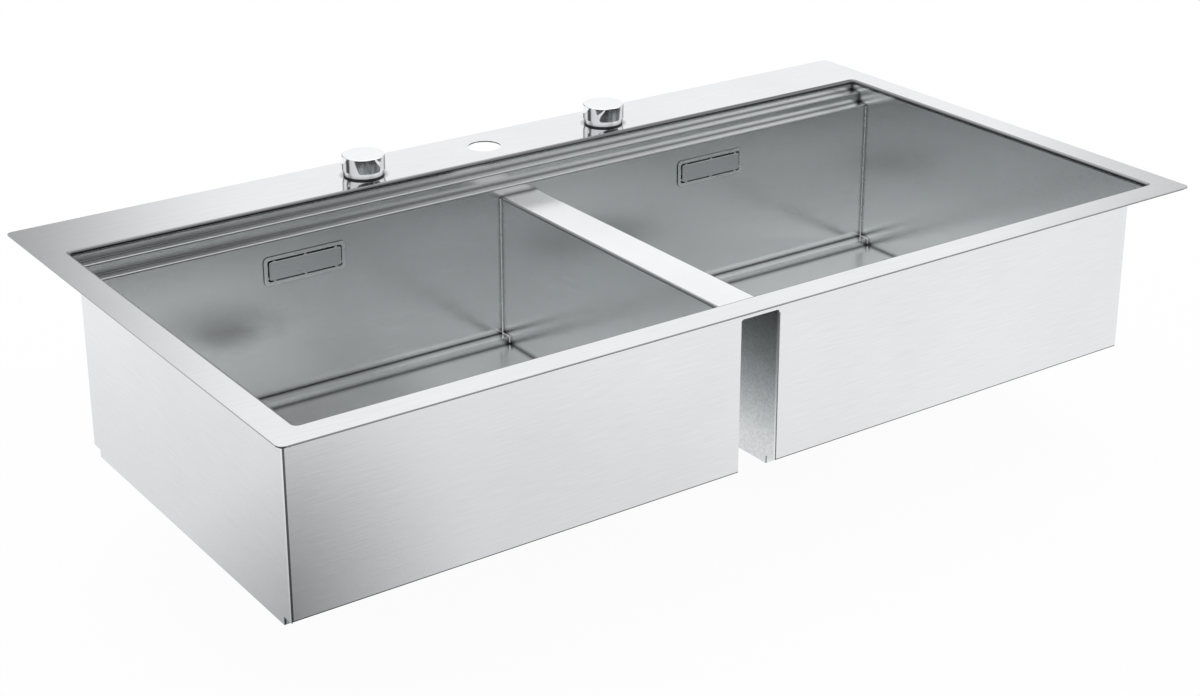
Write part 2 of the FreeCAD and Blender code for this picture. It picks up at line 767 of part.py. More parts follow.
def lift_wedge(hand, place):
    """The wedge that the cable draws under the pin's foot."""
    body = new_body("lift_wedge_" + hand, *place)
    sketch = new_sketch(body, "slope", "XZ")
    run = f"(pin_foot_length + {WEDGE_TRAVEL})"
    tall = f"{WEDGE_FLOOR} + wedge_thin + wedge_slope_share * {run}"
    add_outline(sketch, [
        ("-pin_foot_length / 2", WEDGE_FLOOR),
        (f"{run} - pin_foot_length / 2 + wedge_end", WEDGE_FLOOR),
        (f"{run} - pin_foot_length / 2 + wedge_end", tall),
        (f"{run} - pin_foot_length / 2", tall),
        ("-pin_foot_length / 2", f"{WEDGE_FLOOR} + wedge_thin"),
    ])
    pad(sketch, "actuator_width - 2 * actuator_wall - 2 * moving_gap", middle=True)


def cable_actuator(hand, place):
    """The housing of the wedge, clipped under the cup, with the cable's gland."""
    body = new_body("cable_actuator_" + hand, *place)
    outer = new_sketch(body, "outer", "XY", f"{CUP_LOW} - actuator_height")
    add_outline(outer, centred("actuator_length", "actuator_width"))
    block = pad(outer, "actuator_height")
    rounded(block, "actuator_round", lambda edge: spans(edge, "z"))
    room = new_sketch(body, "room", "XY", CUP_LOW)
    add_outline(room, centred("actuator_length - 2 * actuator_wall",
                              "actuator_width - 2 * actuator_wall"))
    pocket(room, "actuator_height - actuator_wall")
    level = f"({CUP_LOW} - actuator_height / 2)"
    gland = new_sketch(body, "gland", "YZ", "-actuator_length / 2 - gland_length")
    add_circle(gland, "gland_radius", "0", level)
    pad(gland, "gland_length + actuator_wall / 2")
    bore = new_sketch(body, "bore", "YZ", "-actuator_length / 2 - gland_length - overrun")
    add_circle(bore, "cable_bore", "0", level)
    pocket(bore, "gland_length + actuator_wall + 2 * overrun", reverse=True)


def basket(hand, place):
    """The strainer basket with its slotted wall and finger grip, and the seal below it."""
    turned("basket_seal_" + hand,
           ring_points("basket_seal_inner", "basket_seal_outer",
                       f"{BASKET_LOW} - basket_seal_thick", BASKET_LOW), *place)
    rim_top = f"({FLANGE_TOP} + basket_rise)"
    floor_top = f"({BASKET_LOW} + basket_wall)"
    grip_top = f"({FLANGE_TOP} + grip_rise)"
    body, cup = turned("basket_" + hand, [
        ("0", BASKET_LOW),
        ("basket_radius", BASKET_LOW),
        ("basket_radius", f"{rim_top} - basket_wall"),
        ("basket_radius + basket_rim_width", f"{rim_top} - basket_wall"),
        ("basket_radius + basket_rim_width", rim_top),
        ("basket_radius - basket_wall", rim_top),
        ("basket_radius - basket_wall", floor_top),
        ("0", floor_top),
    ], *place)
    rounded(cup, "basket_round",
            lambda edge: near(edge.BoundBox.ZMin, BASKET_LOW)
            and near(edge.BoundBox.XLength, "2 * basket_radius"))
    slot = new_sketch(body, "slot", "XZ")
    low = f"{floor_top} + slot_rise"
    add_outline(slot, box_points("-slot_width / 2", "slot_width / 2", low,
                                 f"{low} + slot_height"))
    cut = pocket(slot, "basket_radius + overrun", reverse=True)
    pattern = body.newObject("PartDesign::PolarPattern", "Slots")
    pattern.Originals = [cut]
    pattern.Axis = (slot, ["V_Axis"])
    pattern.Angle = 360
    pattern.setExpression("Occurrences", bound("slot_count"))
    body.Tip = pattern
    stem = new_sketch(body, "stem", "XY", floor_top)
    add_circle(stem, "stem_radius")
    pad(stem, f"{grip_top} - {floor_top}")
    grip = new_sketch(body, "grip", "XY", f"{grip_top} - grip_thick")
    add_circle(grip, "grip_radius")
    knob = pad(grip, "grip_thick")
    rounded(knob, "grip_round",
            lambda edge: near(edge.BoundBox.XLength, "2 * grip_radius"))


def drains():
    """Both drains, each built on the axis of its hole."""
    for hand, side in (("left", "-"), ("right", "")):
        place = (f"{side}{BOWL_X}", BOWL_Y, SEAT)
        drain_rings(hand, place)
        waste_cup(hand, place)
        pin_and_bush(hand, place)
        lift_wedge(hand, place)
        cable_actuator(hand, place)
        basket(hand, place)


# Sizes at each overflow, measured from the wall's inner face at the slot's centre
SLOT_X = "(overflow_length - 2 * slot_margin_x)"
SLOT_Z = "(overflow_height - 2 * slot_margin_z)"
HOUSING_FRONT = "(wall_thick + housing_gasket)"
ROOM_X = f"({SLOT_X} + 2 * hole_gap)"
ROOM_Z = f"({SLOT_Z} + 2 * hole_gap)"
BOX_X = f"({ROOM_X} + 2 * housing_wall)"
BOX_Z = f"({ROOM_Z} + 2 * housing_wall)"
LUG_X = f"({SLOT_X} / 2 - collar_wall - lug_width / 2)"


def overflow_frame(hand, place):
    """The trim in the wall's slot: a flat border, a collar through the wall and two lugs."""
    body = new_body("overflow_frame_" + hand, *place)
    border = new_sketch(body, "border", "XZ")
    add_outline(border, centred("overflow_length", "overflow_height"))
    plate = pad(border, "frame_proud")
    rounded(plate, "overflow_corner + slot_margin_z", lambda edge: spans(edge, "y"))
    collar = new_sketch(body, "collar", "XZ")
    add_outline(collar, centred(SLOT_X, SLOT_Z))
    pad(collar, "collar_depth", reverse=True)
    hole = new_sketch(body, "hole", "XZ", "frame_proud + overrun")
    add_outline(hole, centred(f"{SLOT_X} - 2 * collar_wall", f"{SLOT_Z} - 2 * collar_wall"))
    opening = pocket(hole, "frame_proud + collar_depth + 2 * overrun")
    rounded(opening, "overflow_corner",
            lambda edge: spans(edge, "y")
            and near(edge.BoundBox.YMin, "-frame_proud")
            and near(edge.BoundBox.YMax, "collar_depth"))
    for side in ("-", ""):
        lug = new_sketch(body, "lug", "XZ", "-collar_depth")
        add_outline(lug, centred("lug_width + collar_wall", f"{SLOT_Z} - collar_wall",
                                 x=f"({side}({LUG_X} + collar_wall / 2))"))
        pad(lug, "lug_thick")
    holes = new_sketch(body, "holes", "XZ", "-collar_depth + lug_thick + overrun")
    for side in ("-", ""):
        add_circle(holes, SCREW_HOLE, f"{side}{LUG_X}", "0")
    pocket(holes, "lug_thick + 2 * overrun")


def overflow_cover(hand, place):
    """The cover plate, with the spring legs that hold it in the collar."""
    body = new_body("overflow_cover_" + hand, *place)
    front = new_sketch(body, "front", "XZ", "plate_proud - plate_thick")
    add_outline(front, centred("plate_length", "plate_height"))
    plate = pad(front, "plate_thick")
    corners = rounded(plate, "plate_corner", lambda edge: spans(edge, "y"))
    rounded(corners, "plate_round",
            lambda edge: near(edge.BoundBox.YMax, "-plate_proud"))
    leg_outer = f"({SLOT_Z} / 2 - collar_wall - moving_gap)"
    for x in ("-leg_spacing", "0", "leg_spacing"):
        for side in ("-", ""):
            top = "plate_proud - plate_thick + leg_thick"
            root = new_sketch(body, "root", "XZ", top)
            reach = f"({leg_outer} - plate_height / 2 + leg_thick)"
            add_outline(root, centred("leg_width", reach, x=x,
                                      y=f"({side}({leg_outer} - {reach} / 2))"))
            pad(root, "leg_thick", reverse=True)
            leg = new_sketch(body, "leg", "XZ", top)
            add_outline(leg, centred("leg_width", "leg_thick", x=x,
                                     y=f"({side}({leg_outer} - leg_thick / 2))"))
            pad(leg, "leg_reach", reverse=True)


def overflow_housing(hand, place):
    """The gasket and the housing behind the wall, with its hose spigot."""
    gasket = new_body("overflow_gasket_" + hand, *place)
    ring = new_sketch(gasket, "ring", "XZ", f"-{HOUSING_FRONT}")
    add_outline(ring, centred(BOX_X, BOX_Z))
    add_outline(ring, centred(ROOM_X, ROOM_Z))
    pad(ring, "housing_gasket")
    body = new_body("overflow_housing_" + hand, *place)
    outer = new_sketch(body, "outer", "XZ", f"-{HOUSING_FRONT}")
    add_outline(outer, centred(BOX_X, BOX_Z))
    block = pad(outer, "housing_depth", reverse=True)
    rounded(block, "housing_round",
            lambda edge: spans(edge, "y")
            or near(edge.BoundBox.YMin, f"{HOUSING_FRONT} + housing_depth"))
    axis_y = f"({HOUSING_FRONT} + housing_depth / 2)"
    spigot = new_sketch(body, "spigot", "XY", f"-{BOX_Z} / 2 - spigot_length")
    add_circle(spigot, "spigot_radius", "0", axis_y)
    pad(spigot, "spigot_length + housing_wall / 2")
    room = new_sketch(body, "room", "XZ", f"-{HOUSING_FRONT}")
    add_outline(room, centred(ROOM_X, ROOM_Z))
    pocket(room, "housing_depth - housing_wall")
    bore = new_sketch(body, "bore", "XY", f"-{BOX_Z} / 2 - spigot_length - overrun")
    add_circle(bore, "spigot_bore", "0", axis_y)
    pocket(bore, "spigot_length + housing_wall + 2 * overrun", reverse=True)
    for side in ("-", ""):
        boss = new_sketch(body, "boss", "XZ", "-collar_depth")
        add_circle(boss, "housing_boss", f"{side}{LUG_X}", "0")
        pad(boss, f"{HOUSING_FRONT} + housing_depth - housing_wall / 2 - collar_depth",
            reverse=True)
    holes = new_sketch(body, "holes", "XZ", "-collar_depth + overrun")
    for side in ("-", ""):
        add_circle(holes, "screw_radius", f"{side}{LUG_X}", "0")
    pocket(holes, "housing_screw_length + overrun - lug_thick")


def overflows():
    """Both overflows, each built round the centre of its slot."""
    for hand, side in (("left", "-"), ("right", "")):
        place = (f"{side}{BOWL_X}", BACK, OVERFLOW_Z)
        overflow_frame(hand, place)
        overflow_cover(hand, place)
        overflow_housing(hand, place)


# Levels at each rotary control, measured from the rim's top
HEAD_LOW = "base_ring_thick"
HEAD_TOP = f"({HEAD_LOW} + sleeve_head_thick)"
KNOB_LOW = "(base_ring_thick + moving_gap)"
BOSS_LOW = f"({HEAD_TOP} + moving_gap)"
NUT_TOP = "(-rim_thick - washer_thick)"

# A hexagon's corners as shares of its width across flats
CORNER_SHARES = [(math.cos(math.radians(60 * turn)) / math.sqrt(3),
                  math.sin(math.radians(60 * turn)) / math.sqrt(3)) for turn in range(6)]


def knob(hand, place):
    """The turning knob, hollow below, with the boss that grips the spindle."""
    hollow_top = f"({KNOB_LOW} + knob_hollow_depth)"
    drive_top = f"({BOSS_LOW} + spindle_drive_depth)"
    _, shell = turned("knob_" + hand, [
        ("0", "knob_height"),
        ("knob_radius", "knob_height"),
        ("knob_radius", f"{KNOB_LOW} + knob_bevel"),
        ("knob_foot_radius", KNOB_LOW),
        ("knob_hollow_radius", KNOB_LOW),
        ("knob_hollow_radius", hollow_top),
        ("knob_boss_radius", hollow_top),
        ("knob_boss_radius", BOSS_LOW),
        ("spindle_radius + spindle_fit", BOSS_LOW),
        ("spindle_radius + spindle_fit", drive_top),
        ("0", drive_top),
    ], *place)
    rounded(shell, "knob_edge",
            lambda edge: near(edge.BoundBox.ZMin, "knob_height") and edge.BoundBox.XLength > 0)


def control_under(hand, place):
    """The ring, sleeve, spindle, lock nut and cable box that carry a knob."""
    turned("knob_ring_" + hand,
           ring_points("base_ring_radius - base_ring_width", "base_ring_radius", "0",
                       "base_ring_thick"), *place)
    bore = "spindle_radius + spindle_fit"
    turned("knob_sleeve_" + hand, [
        (bore, HEAD_TOP),
        ("sleeve_head_radius", HEAD_TOP),
        ("sleeve_head_radius", HEAD_LOW),
        ("sleeve_radius", HEAD_LOW),
        ("sleeve_radius", "-sleeve_length"),
        (bore, "-sleeve_length"),
    ], *place)
    drum_top = "(-sleeve_length - moving_gap)"
    groove = "(drum_radius - drum_groove)"
    turned("spindle_" + hand, [
        ("0", f"{BOSS_LOW} + spindle_drive_depth - moving_gap"),
        ("spindle_radius", f"{BOSS_LOW} + spindle_drive_depth - moving_gap"),
        ("spindle_radius", drum_top),
        ("drum_radius", drum_top),
        ("drum_radius", f"{drum_top} - drum_thick / 4"),
        (groove, f"{drum_top} - drum_thick / 2 + drum_groove / 2"),
        (groove, f"{drum_top} - drum_thick / 2 - drum_groove / 2"),
        ("drum_radius", f"{drum_top} - drum_thick * 3 / 4"),
        ("drum_radius", f"{drum_top} - drum_thick"),
        ("0", f"{drum_top} - drum_thick"),
    ], *place)
    nut = new_body("lock_nut_" + hand, *place)
    hexagon = new_sketch(nut, "hexagon", "XY", f"{NUT_TOP} - nut_thick")
    add_outline(hexagon, [(f"{x} * nut_flats", f"{y} * nut_flats") for x, y in CORNER_SHARES])
    add_circle(hexagon, "sleeve_radius + spindle_fit")
    pad(hexagon, "nut_thick")
    cable_box(hand, place, drum_top)


def cable_box(hand, place, drum_top):
    """The box round the cable drum, closed by the sleeve's end, with the cable's gland."""
    body = new_body("cable_box_" + hand, *place)
    outer = new_sketch(body, "outer", "XY", "-sleeve_length - box_height")
    add_outline(outer, centred("box_length", "box_width"))
    block = pad(outer, "box_height")
    rounded(block, "box_round", lambda edge: spans(edge, "z"))
    room = new_sketch(body, "room", "XY", "-sleeve_length")
    add_circle(room, "drum_room")
    pocket(room, "drum_thick + 2 * moving_gap")
    level = f"({drum_top} - drum_thick / 2)"
    side = "(drum_radius - drum_groove)"
    gland = new_sketch(body, "gland", "XZ", "box_width / 2 + gland_length")
    add_circle(gland, "gland_radius", side, level)
    pad(gland, "gland_length + overrun", reverse=True)
    bore = new_sketch(body, "bore", "XZ", "box_width / 2 + gland_length + overrun")
    add_circle(bore, "cable_bore", side, level)
    pocket(bore, "box_width / 2 + gland_length + overrun")


def controls():
    """Both rotary controls, each built on its own axis from the rim's top."""
    for hand, side in (("left", "-"), ("right", "")):
        place = (f"{side}control_spacing", CONTROL_Y, TOP)
        knob(hand, place)
        control_under(hand, place)


def loose_body(name, y="0", z="0"):
    """A body for one kind of fastener, which holds a separate solid for each."""
    body = new_body(name, y=y, z=z)
    body.AllowCompound = True
    return body


def disks(body, plane, offset, radius, places, thick, reverse=False):
    """Equal disks at a list of places."""
    sketch = new_sketch(body, "disks", plane, offset)
    for x, y in places:
        add_circle(sketch, radius, x, y)
    return pad(sketch, thick, reverse=reverse)


def fasteners():
    """The washers and screws, each kind in one node."""
    washers = loose_body("washers", CONTROL_Y, TOP)
    rings = new_sketch(washers, "rings", "XY", NUT_TOP)
    for side in ("-", ""):
        add_circle(rings, "washer_radius", f"{side}control_spacing")
        add_circle(rings, "sleeve_radius + hole_gap", f"{side}control_spacing")
    pad(rings, "washer_thick")

    shank = "screw_radius - spindle_fit"
    turns = int(number("screw_count"))
    round_drain = []
    for turn in range(turns):
        angle = 2 * math.pi * turn / turns
        for side in ("-", ""):
            round_drain.append((f"{side}{BOWL_X} + screw_circle * {math.cos(angle):.9f}",
                                f"screw_circle * {math.sin(angle):.9f}"))
    clamps = loose_body("flange_screws", BOWL_Y, SEAT)
    disks(clamps, "XY", f"{FLANGE_TOP} - screw_length", shank, round_drain, "screw_length")
    disks(clamps, "XY", FLANGE_TOP, "screw_head_radius", round_drain, "screw_head_rise")

    in_lugs = [(f"{bowl}{BOWL_X} + {side}{LUG_X}", "0") for bowl in ("-", "")
               for side in ("-", "")]
    holders = loose_body("overflow_screws", BACK, OVERFLOW_Z)
    front = "-collar_depth + lug_thick"
    disks(holders, "XZ", f"{front} - housing_screw_length", shank, in_lugs,
          "housing_screw_length")
    disks(holders, "XZ", front, "screw_head_radius", in_lugs, "screw_head_rise")


def build_all():
    """Build every sub-part."""
    rim()
    rim_seal()
    walls()
    end_plates()
    inner_plates()
    divider_cap()
    floors()
    sound_pads()
    drains()
    overflows()
    controls()
    fasteners()


build_all()
doc.recompute()

for item in doc.Objects:
    if {"Invalid", "Error"} & set(item.State):
        raise RuntimeError(f"{item.Label}: {item.State}")
for name, item in nodes.items():
    if item.Shape.isNull() or not item.Shape.isValid():
        raise RuntimeError(f"{name} has no valid shape")
for name, item in nodes.items():
    item.Shape.exportStep(f"parts/{name}.step")
    print(name, len(item.Shape.Solids), round(item.Shape.Volume), [round(v, 2) for v in (
        item.Shape.BoundBox.XMin, item.Shape.BoundBox.XMax, item.Shape.BoundBox.YMin,
        item.Shape.BoundBox.YMax, item.Shape.BoundBox.ZMin, item.Shape.BoundBox.ZMax)])
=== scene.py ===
# %% [markdown]
# # A double-bowl stainless steel sink
# This lesson dresses a kitchen sink that was built as a solid model. Every sheet, screw and seal
# comes in as its own mesh, already in its right place, in metres. What is left to do here is what
# the eye judges first: how each metal was finished, the small shapes that a solid model leaves
# out, the light, and the camera. The loader gives the meshes, and each new piece is told which
# moving body it travels with.

# %% Load the solid model
import json
import math

import bmesh
import bpy
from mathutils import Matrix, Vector


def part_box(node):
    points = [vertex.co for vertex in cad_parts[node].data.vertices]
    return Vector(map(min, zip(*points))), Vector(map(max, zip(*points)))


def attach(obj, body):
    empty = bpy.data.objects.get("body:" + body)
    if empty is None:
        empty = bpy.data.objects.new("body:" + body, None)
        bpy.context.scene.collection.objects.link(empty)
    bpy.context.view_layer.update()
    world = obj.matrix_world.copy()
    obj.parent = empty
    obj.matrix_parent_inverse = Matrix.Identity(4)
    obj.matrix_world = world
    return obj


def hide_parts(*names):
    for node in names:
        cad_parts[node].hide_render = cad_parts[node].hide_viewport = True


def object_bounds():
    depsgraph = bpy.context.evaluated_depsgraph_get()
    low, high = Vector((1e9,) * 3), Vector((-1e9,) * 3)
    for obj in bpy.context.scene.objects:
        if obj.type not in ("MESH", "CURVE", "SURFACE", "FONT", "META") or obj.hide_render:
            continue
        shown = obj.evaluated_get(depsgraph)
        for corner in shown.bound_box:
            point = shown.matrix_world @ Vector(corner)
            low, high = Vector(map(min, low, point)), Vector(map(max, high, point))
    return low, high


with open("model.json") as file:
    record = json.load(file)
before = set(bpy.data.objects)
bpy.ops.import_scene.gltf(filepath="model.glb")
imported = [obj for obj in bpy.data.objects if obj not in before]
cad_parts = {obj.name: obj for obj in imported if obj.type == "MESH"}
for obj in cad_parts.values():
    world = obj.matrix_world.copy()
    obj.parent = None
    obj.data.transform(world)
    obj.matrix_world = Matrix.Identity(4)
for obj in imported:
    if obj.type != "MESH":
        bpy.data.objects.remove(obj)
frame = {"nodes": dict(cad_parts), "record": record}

solid_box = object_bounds()
nodes = frame["nodes"]
hands = {"left": -1, "right": 1}
print(len(nodes), "solid pieces loaded, box", [round(side, 4) for side in solid_box[1]])

# %% [markdown]
# ## Camera
# The photograph was taken from the front left, a little above the rim. Its upright lines stay
# parallel, which a tilted camera does not do, so the picture was shot level and shifted. A level
# camera with the same shift would match it best, but so large a shift would spoil every other
# view. So this camera tilts down and keeps a small shift, and its place was fitted to the
# corners of the rim and the bowls.

# %% Camera
camera_data = bpy.data.cameras.new("photo_camera")
camera = bpy.data.objects.new("photo_camera", camera_data)
bpy.context.scene.collection.objects.link(camera)
camera_pitch_down = 0.35924
camera_turn = -0.61494
camera.location = (-1.1626, -1.62027, 0.7323)
camera.rotation_euler = (math.pi / 2 - camera_pitch_down, 0, camera_turn)
camera_data.lens = 65.07
camera_data.shift_y = -0.1
camera_data.clip_end = 100
bpy.context.scene.camera = camera
print("camera lens", camera_data.lens, "mm")

# %% [markdown]
# ## A short way to write node trees
# A procedural material is a small graph. Building it node by node takes many lines, so one helper
# adds a node, sets its options and fills its inputs. An input may be a plain value or the output
# of an earlier node, and in that case the two are linked.

# %% Node helpers
def add(tree, kind, inputs=(), **options):
    """Adds one shader node, with its options set and its inputs filled or linked."""
    made = tree.nodes.new("ShaderNode" + kind)
    for name, value in options.items():
        setattr(made, name, value)
    for name, value in dict(inputs).items():
        if isinstance(value, bpy.types.NodeSocket):
            tree.links.new(value, made.inputs[name])
        else:
            made.inputs[name].default_value = value
    return made


def maths(tree, operation, first, second=0.0, third=0.0):
    """The result of a sum on up to three values."""
    made = add(tree, "Math", {0: first, 1: second, 2: third}, operation=operation)
    return made.outputs[0]


def remap(tree, value, low, high, from_low=0.0, from_high=1.0):
    """A value moved from one range to another, and kept inside it."""
    made = add(tree, "MapRange", {"Value": value, "From Min": from_low, "From Max": from_high,
                                  "To Min": low, "To Max": high})
    return made.outputs["Result"]


# %% [markdown]
# ## What nearly every finish asks for
# No metal or rubber on this sink is one flat colour. Each finish takes a cloudy noise at some
# place on the object and makes its colour a little darker or lighter by it. Written out each
# time, these steps would hide what is special about a finish, so they get short names.

# %% Noise, level and place
def noise(tree, place, scale, detail):
    """A cloudy value that changes from place to place."""
    made = add(tree, "TexNoise", {"Vector": place, "Scale": scale, "Detail": detail})
    return made.outputs["Fac"]


def scaled(tree, colour, level):
    """A colour made darker or lighter by a level."""
    made = add(tree, "VectorMath", {0: colour, "Scale": level}, operation="SCALE")
    return made.outputs[0]


def object_place(tree):
    """Where a point lies on the object, in metres."""
    return add(tree, "TexCoord").outputs["Object"]


def grey(level):
    """A neutral colour with its alpha."""
    return (level, level, level, 1)


# %% [markdown]
# ## Studio light
# Polished metal has almost no colour of its own. It shows the room, so the room is the light.
# Real panels could stand round the sink as lit meshes, but each would need its place and its
# power. A ring of grey steps by compass angle does the same with one ramp. It draws the soft
# steps of tone on the deck and the stripes on the knobs.

# %% World ring
PANELS = [
    # compass angle in degrees, brightness
    (-180, 0.80), (-112, 0.92), (-86, 0.12), (-64, 0.10), (-53, 0.90), (-36, 1.0), (8, 0.85),
    (24, 0.30), (36, 0.50), (44, 1.0), (64.5, 1.0), (67, 0.85), (69, 0.62), (71, 0.42),
    (78, 0.34), (96, 0.28), (107, 0.80), (128, 0.90), (140, 0.10), (156, 0.08), (166, 0.75),
]
world = bpy.data.worlds.new("studio")
bpy.context.scene.world = world
world.use_nodes = True
tree = world.node_tree
tree.nodes.clear()
direction = add(tree, "TexCoord").outputs["Generated"]
parts = add(tree, "SeparateXYZ", {0: direction})
turn = maths(tree, "ARCTAN2", parts.outputs["Y"], parts.outputs["X"])
ring_place = remap(tree, turn, 0.0, 1.0, -math.pi, math.pi)
ring = add(tree, "ValToRGB", {"Fac": ring_place})
for index, (angle, level) in enumerate(PANELS):
    place = (angle + 180) / 360
    stop = ring.color_ramp.elements[0] if index == 0 else ring.color_ramp.elements.new(place)
    stop.position = place
    stop.color = grey(level)
ring.color_ramp.elements[len(PANELS)].position = 1
ring.color_ramp.elements[len(PANELS)].color = grey(PANELS[0][1])
print("world ring with", len(PANELS), "panels")

# %% [markdown]
# ## What each kind of ray sees
# The same room has to be white behind the sink, striped in its mirrors and plain on its matt
# parts. The light path node tells which kind of ray is asking, so one small tree can answer each
# of them. Higher up, the ring fades into a plain sky. Matt surfaces get one level, so a colour
# renders about as it is written.

# %% World rays
sky_level = 0.9
matt_level = 0.86
sky_share = remap(tree, parts.outputs["Z"], 0.0, 1.0, 0.5, 0.75)
mirror_tone = add(tree, "MixRGB", {"Fac": sky_share, "Color1": ring.outputs["Color"],
                                   "Color2": grey(sky_level)})
rays = add(tree, "LightPath")
for_matt = add(tree, "MixRGB", {"Fac": rays.outputs["Is Diffuse Ray"],
                                "Color1": mirror_tone.outputs[0], "Color2": grey(matt_level)})
for_camera = add(tree, "MixRGB", {"Fac": rays.outputs["Is Camera Ray"],
                                  "Color1": for_matt.outputs[0], "Color2": grey(1)})
background = add(tree, "Background", {"Color": for_camera.outputs[0], "Strength": 1.0})
output = add(tree, "OutputWorld")
tree.links.new(background.outputs[0], output.inputs["Surface"])
print("matt surfaces get a level of", matt_level)

# %% [markdown]
# ## One soft lamp
# Light from all sides alone leaves no shadow, and the sink would seem to float. A sun lamp would
# give a hard edge that the photograph does not have. A large square lamp, high behind the right
# end, throws a soft one. The plain view transform then shows each colour as it is written.

# %% Lamp
def softbox(name, place, aim, side, watts):
    """A square area lamp that points from its place to its aim."""
    data = bpy.data.lights.new(name, "AREA")
    data.shape = "SQUARE"
    data.size = side
    data.energy = watts
    lamp = bpy.data.objects.new(name, data)
    lamp.location = place
    lamp.rotation_euler = (Vector(aim) - Vector(place)).to_track_quat("-Z", "Y").to_euler()
    bpy.context.scene.collection.objects.link(lamp)
    print(name, "gives", watts, "W")


softbox("top_softbox", (0.9, 1.5, 2.6), (0, 0, -0.1), 2.4, 20)
bpy.context.scene.view_settings.view_transform = "Standard"

# %% [markdown]
# ## New pieces and new materials
# A piece is an object that holds a mesh, and a material starts with one principled shader. The
# first shape is the simplest one: a ring of corners filled with a single face.

# %% Piece and material helpers
def mesh_piece(name, mesh_data):
    """Links a new object with this mesh."""
    made = bpy.data.objects.new(name, mesh_data)
    bpy.context.scene.collection.objects.link(made)
    return made


def disc(name, radius, sides, height):
    """A flat round sheet."""
    shape = bmesh.new()
    bmesh.ops.create_circle(shape, cap_ends=True, radius=radius, segments=sides)
    for corner in shape.verts:
        corner.co.z = height
    data = bpy.data.meshes.new(name)
    shape.to_mesh(data)
    shape.free()
    return mesh_piece(name, data)


def new_material(name):
    """A material with its tree and its principled shader."""
    material = bpy.data.materials.new(name)
    material.use_nodes = True
    shader = material.node_tree.nodes["Principled BSDF"]
    return material, material.node_tree, shader


# %% [markdown]
# ## Floor
# The photograph has the sink on plain white. A pale matt sheet stands in for it, wide enough that
# no view shows its edge close up, and it carries the sink's soft shadow. A floor that bends up
# into a wall is the other usual way, but here the world is already white behind the sink.

# %% Floor
floor_radius = 14
floor_drop = 0.001
floor = disc("studio_floor", floor_radius, 96, solid_box[0][2] - floor_drop)
floor_paper, tree, shader = new_material("floor_paper")
place = object_place(tree)
tone = add(tree, "MixRGB", {"Fac": noise(tree, place, 9.0, 6.0), "Color1": grey(0.93),
                            "Color2": grey(0.95)})
tree.links.new(tone.outputs[0], shader.inputs["Base Color"])
shader.inputs["Roughness"].default_value = 0.9
shader.inputs["Specular IOR Level"].default_value = 0.1
floor.data.materials.append(floor_paper)
print("floor at", round(solid_box[0][2] - floor_drop, 4), "m")

# %% [markdown]
# ## How the floor glows
# Brighter lamps would turn the paper white, but they would bleach the sink too. Instead the paper
# glows for the camera and for mirror rays only, and keeps a little of its own shade. In mirrors
# the glow is dimmest beside the left front corner and full a metre away, so the sink's faces
# carry a soft change of tone. The sheet is see-through from below, so that the drains can be
# looked at.

# %% Floor glow
rays = add(tree, "LightPath")
seen = maths(tree, "MAXIMUM", rays.outputs["Is Camera Ray"], rays.outputs["Is Glossy Ray"])
seen = maths(tree, "MAXIMUM", seen, rays.outputs["Is Transmission Ray"])
dimmest_place = (-0.6, -0.3, 0)
dimmest_glow = 0.66
distance = add(tree, "VectorMath", {0: place, 1: dimmest_place}, operation="DISTANCE")
falloff = remap(tree, distance.outputs["Value"], dimmest_glow, 1.0)
in_mirror = add(tree, "Mix", {0: rays.outputs["Is Glossy Ray"], 2: 1.0, 3: falloff})
glow = add(tree, "Emission", {"Color": grey(1), "Strength": in_mirror.outputs[0]})
glow_share = 0.96
lit_paper = add(tree, "MixShader", {0: maths(tree, "MULTIPLY", seen, glow_share),
                                    1: shader.outputs[0], 2: glow.outputs[0]})
from_below = maths(tree, "MULTIPLY", add(tree, "NewGeometry").outputs["Backfacing"],
                   rays.outputs["Is Camera Ray"])
one_sided = add(tree, "MixShader", {0: from_below, 1: lit_paper.outputs[0],
                                    2: add(tree, "BsdfTransparent").outputs[0]})
tree.links.new(one_sided.outputs[0], tree.nodes["Material Output"].inputs["Surface"])
print("the floor's glow makes up", glow_share, "of its look")

# %% [markdown]
# ## A dark flag
# A front face that mirrors only a white floor looks like paper. Photographers lay a dark card
# just out of the picture, and its soft reflection tells the eye that the face is metal. This card
# has an edge that fades out, lies in front of the left corner, and shows in mirror rays only.

# %% Dark flag
flag_lift = 0.004
fade_power = 0.8
flag = disc("dark_flag", 1, 64, 0)
flag.location = (-0.47, -0.36, solid_box[0][2] + flag_lift)
flag.scale = (0.22, 0.62, 1)
flag.rotation_euler = (0, 0, math.radians(27))
flag_cloth, tree, shader = new_material("flag_cloth")
from_middle = add(tree, "VectorMath", {0: object_place(tree)}, operation="LENGTH")
clear_share = maths(tree, "POWER", from_middle.outputs["Value"], fade_power)
shader.inputs["Base Color"].default_value = grey(0.1)
shader.inputs["Roughness"].default_value = 1.0
fading_card = add(tree, "MixShader", {0: clear_share, 1: shader.outputs[0],
                                      2: add(tree, "BsdfTransparent").outputs[0]})
tree.links.new(fading_card.outputs[0], tree.nodes["Material Output"].inputs["Surface"])
flag.data.materials.append(flag_cloth)
flag.visible_camera = flag.visible_diffuse = flag.visible_shadow = False
print("the flag shows in mirror rays only")

# %% [markdown]
# ## The direction of the grain
# Brushed steel is drawn under an abrasive belt, which leaves fine parallel scratches. Up close
# they are lines. From afar they only stretch each reflection across the grain. An unwrapped
# picture of scratches could show them, but it would need a seam on every fold. Coordinates drawn
# out along the level direction of each face follow the grain on any sheet, and so does a tangent
# that lies level in it.

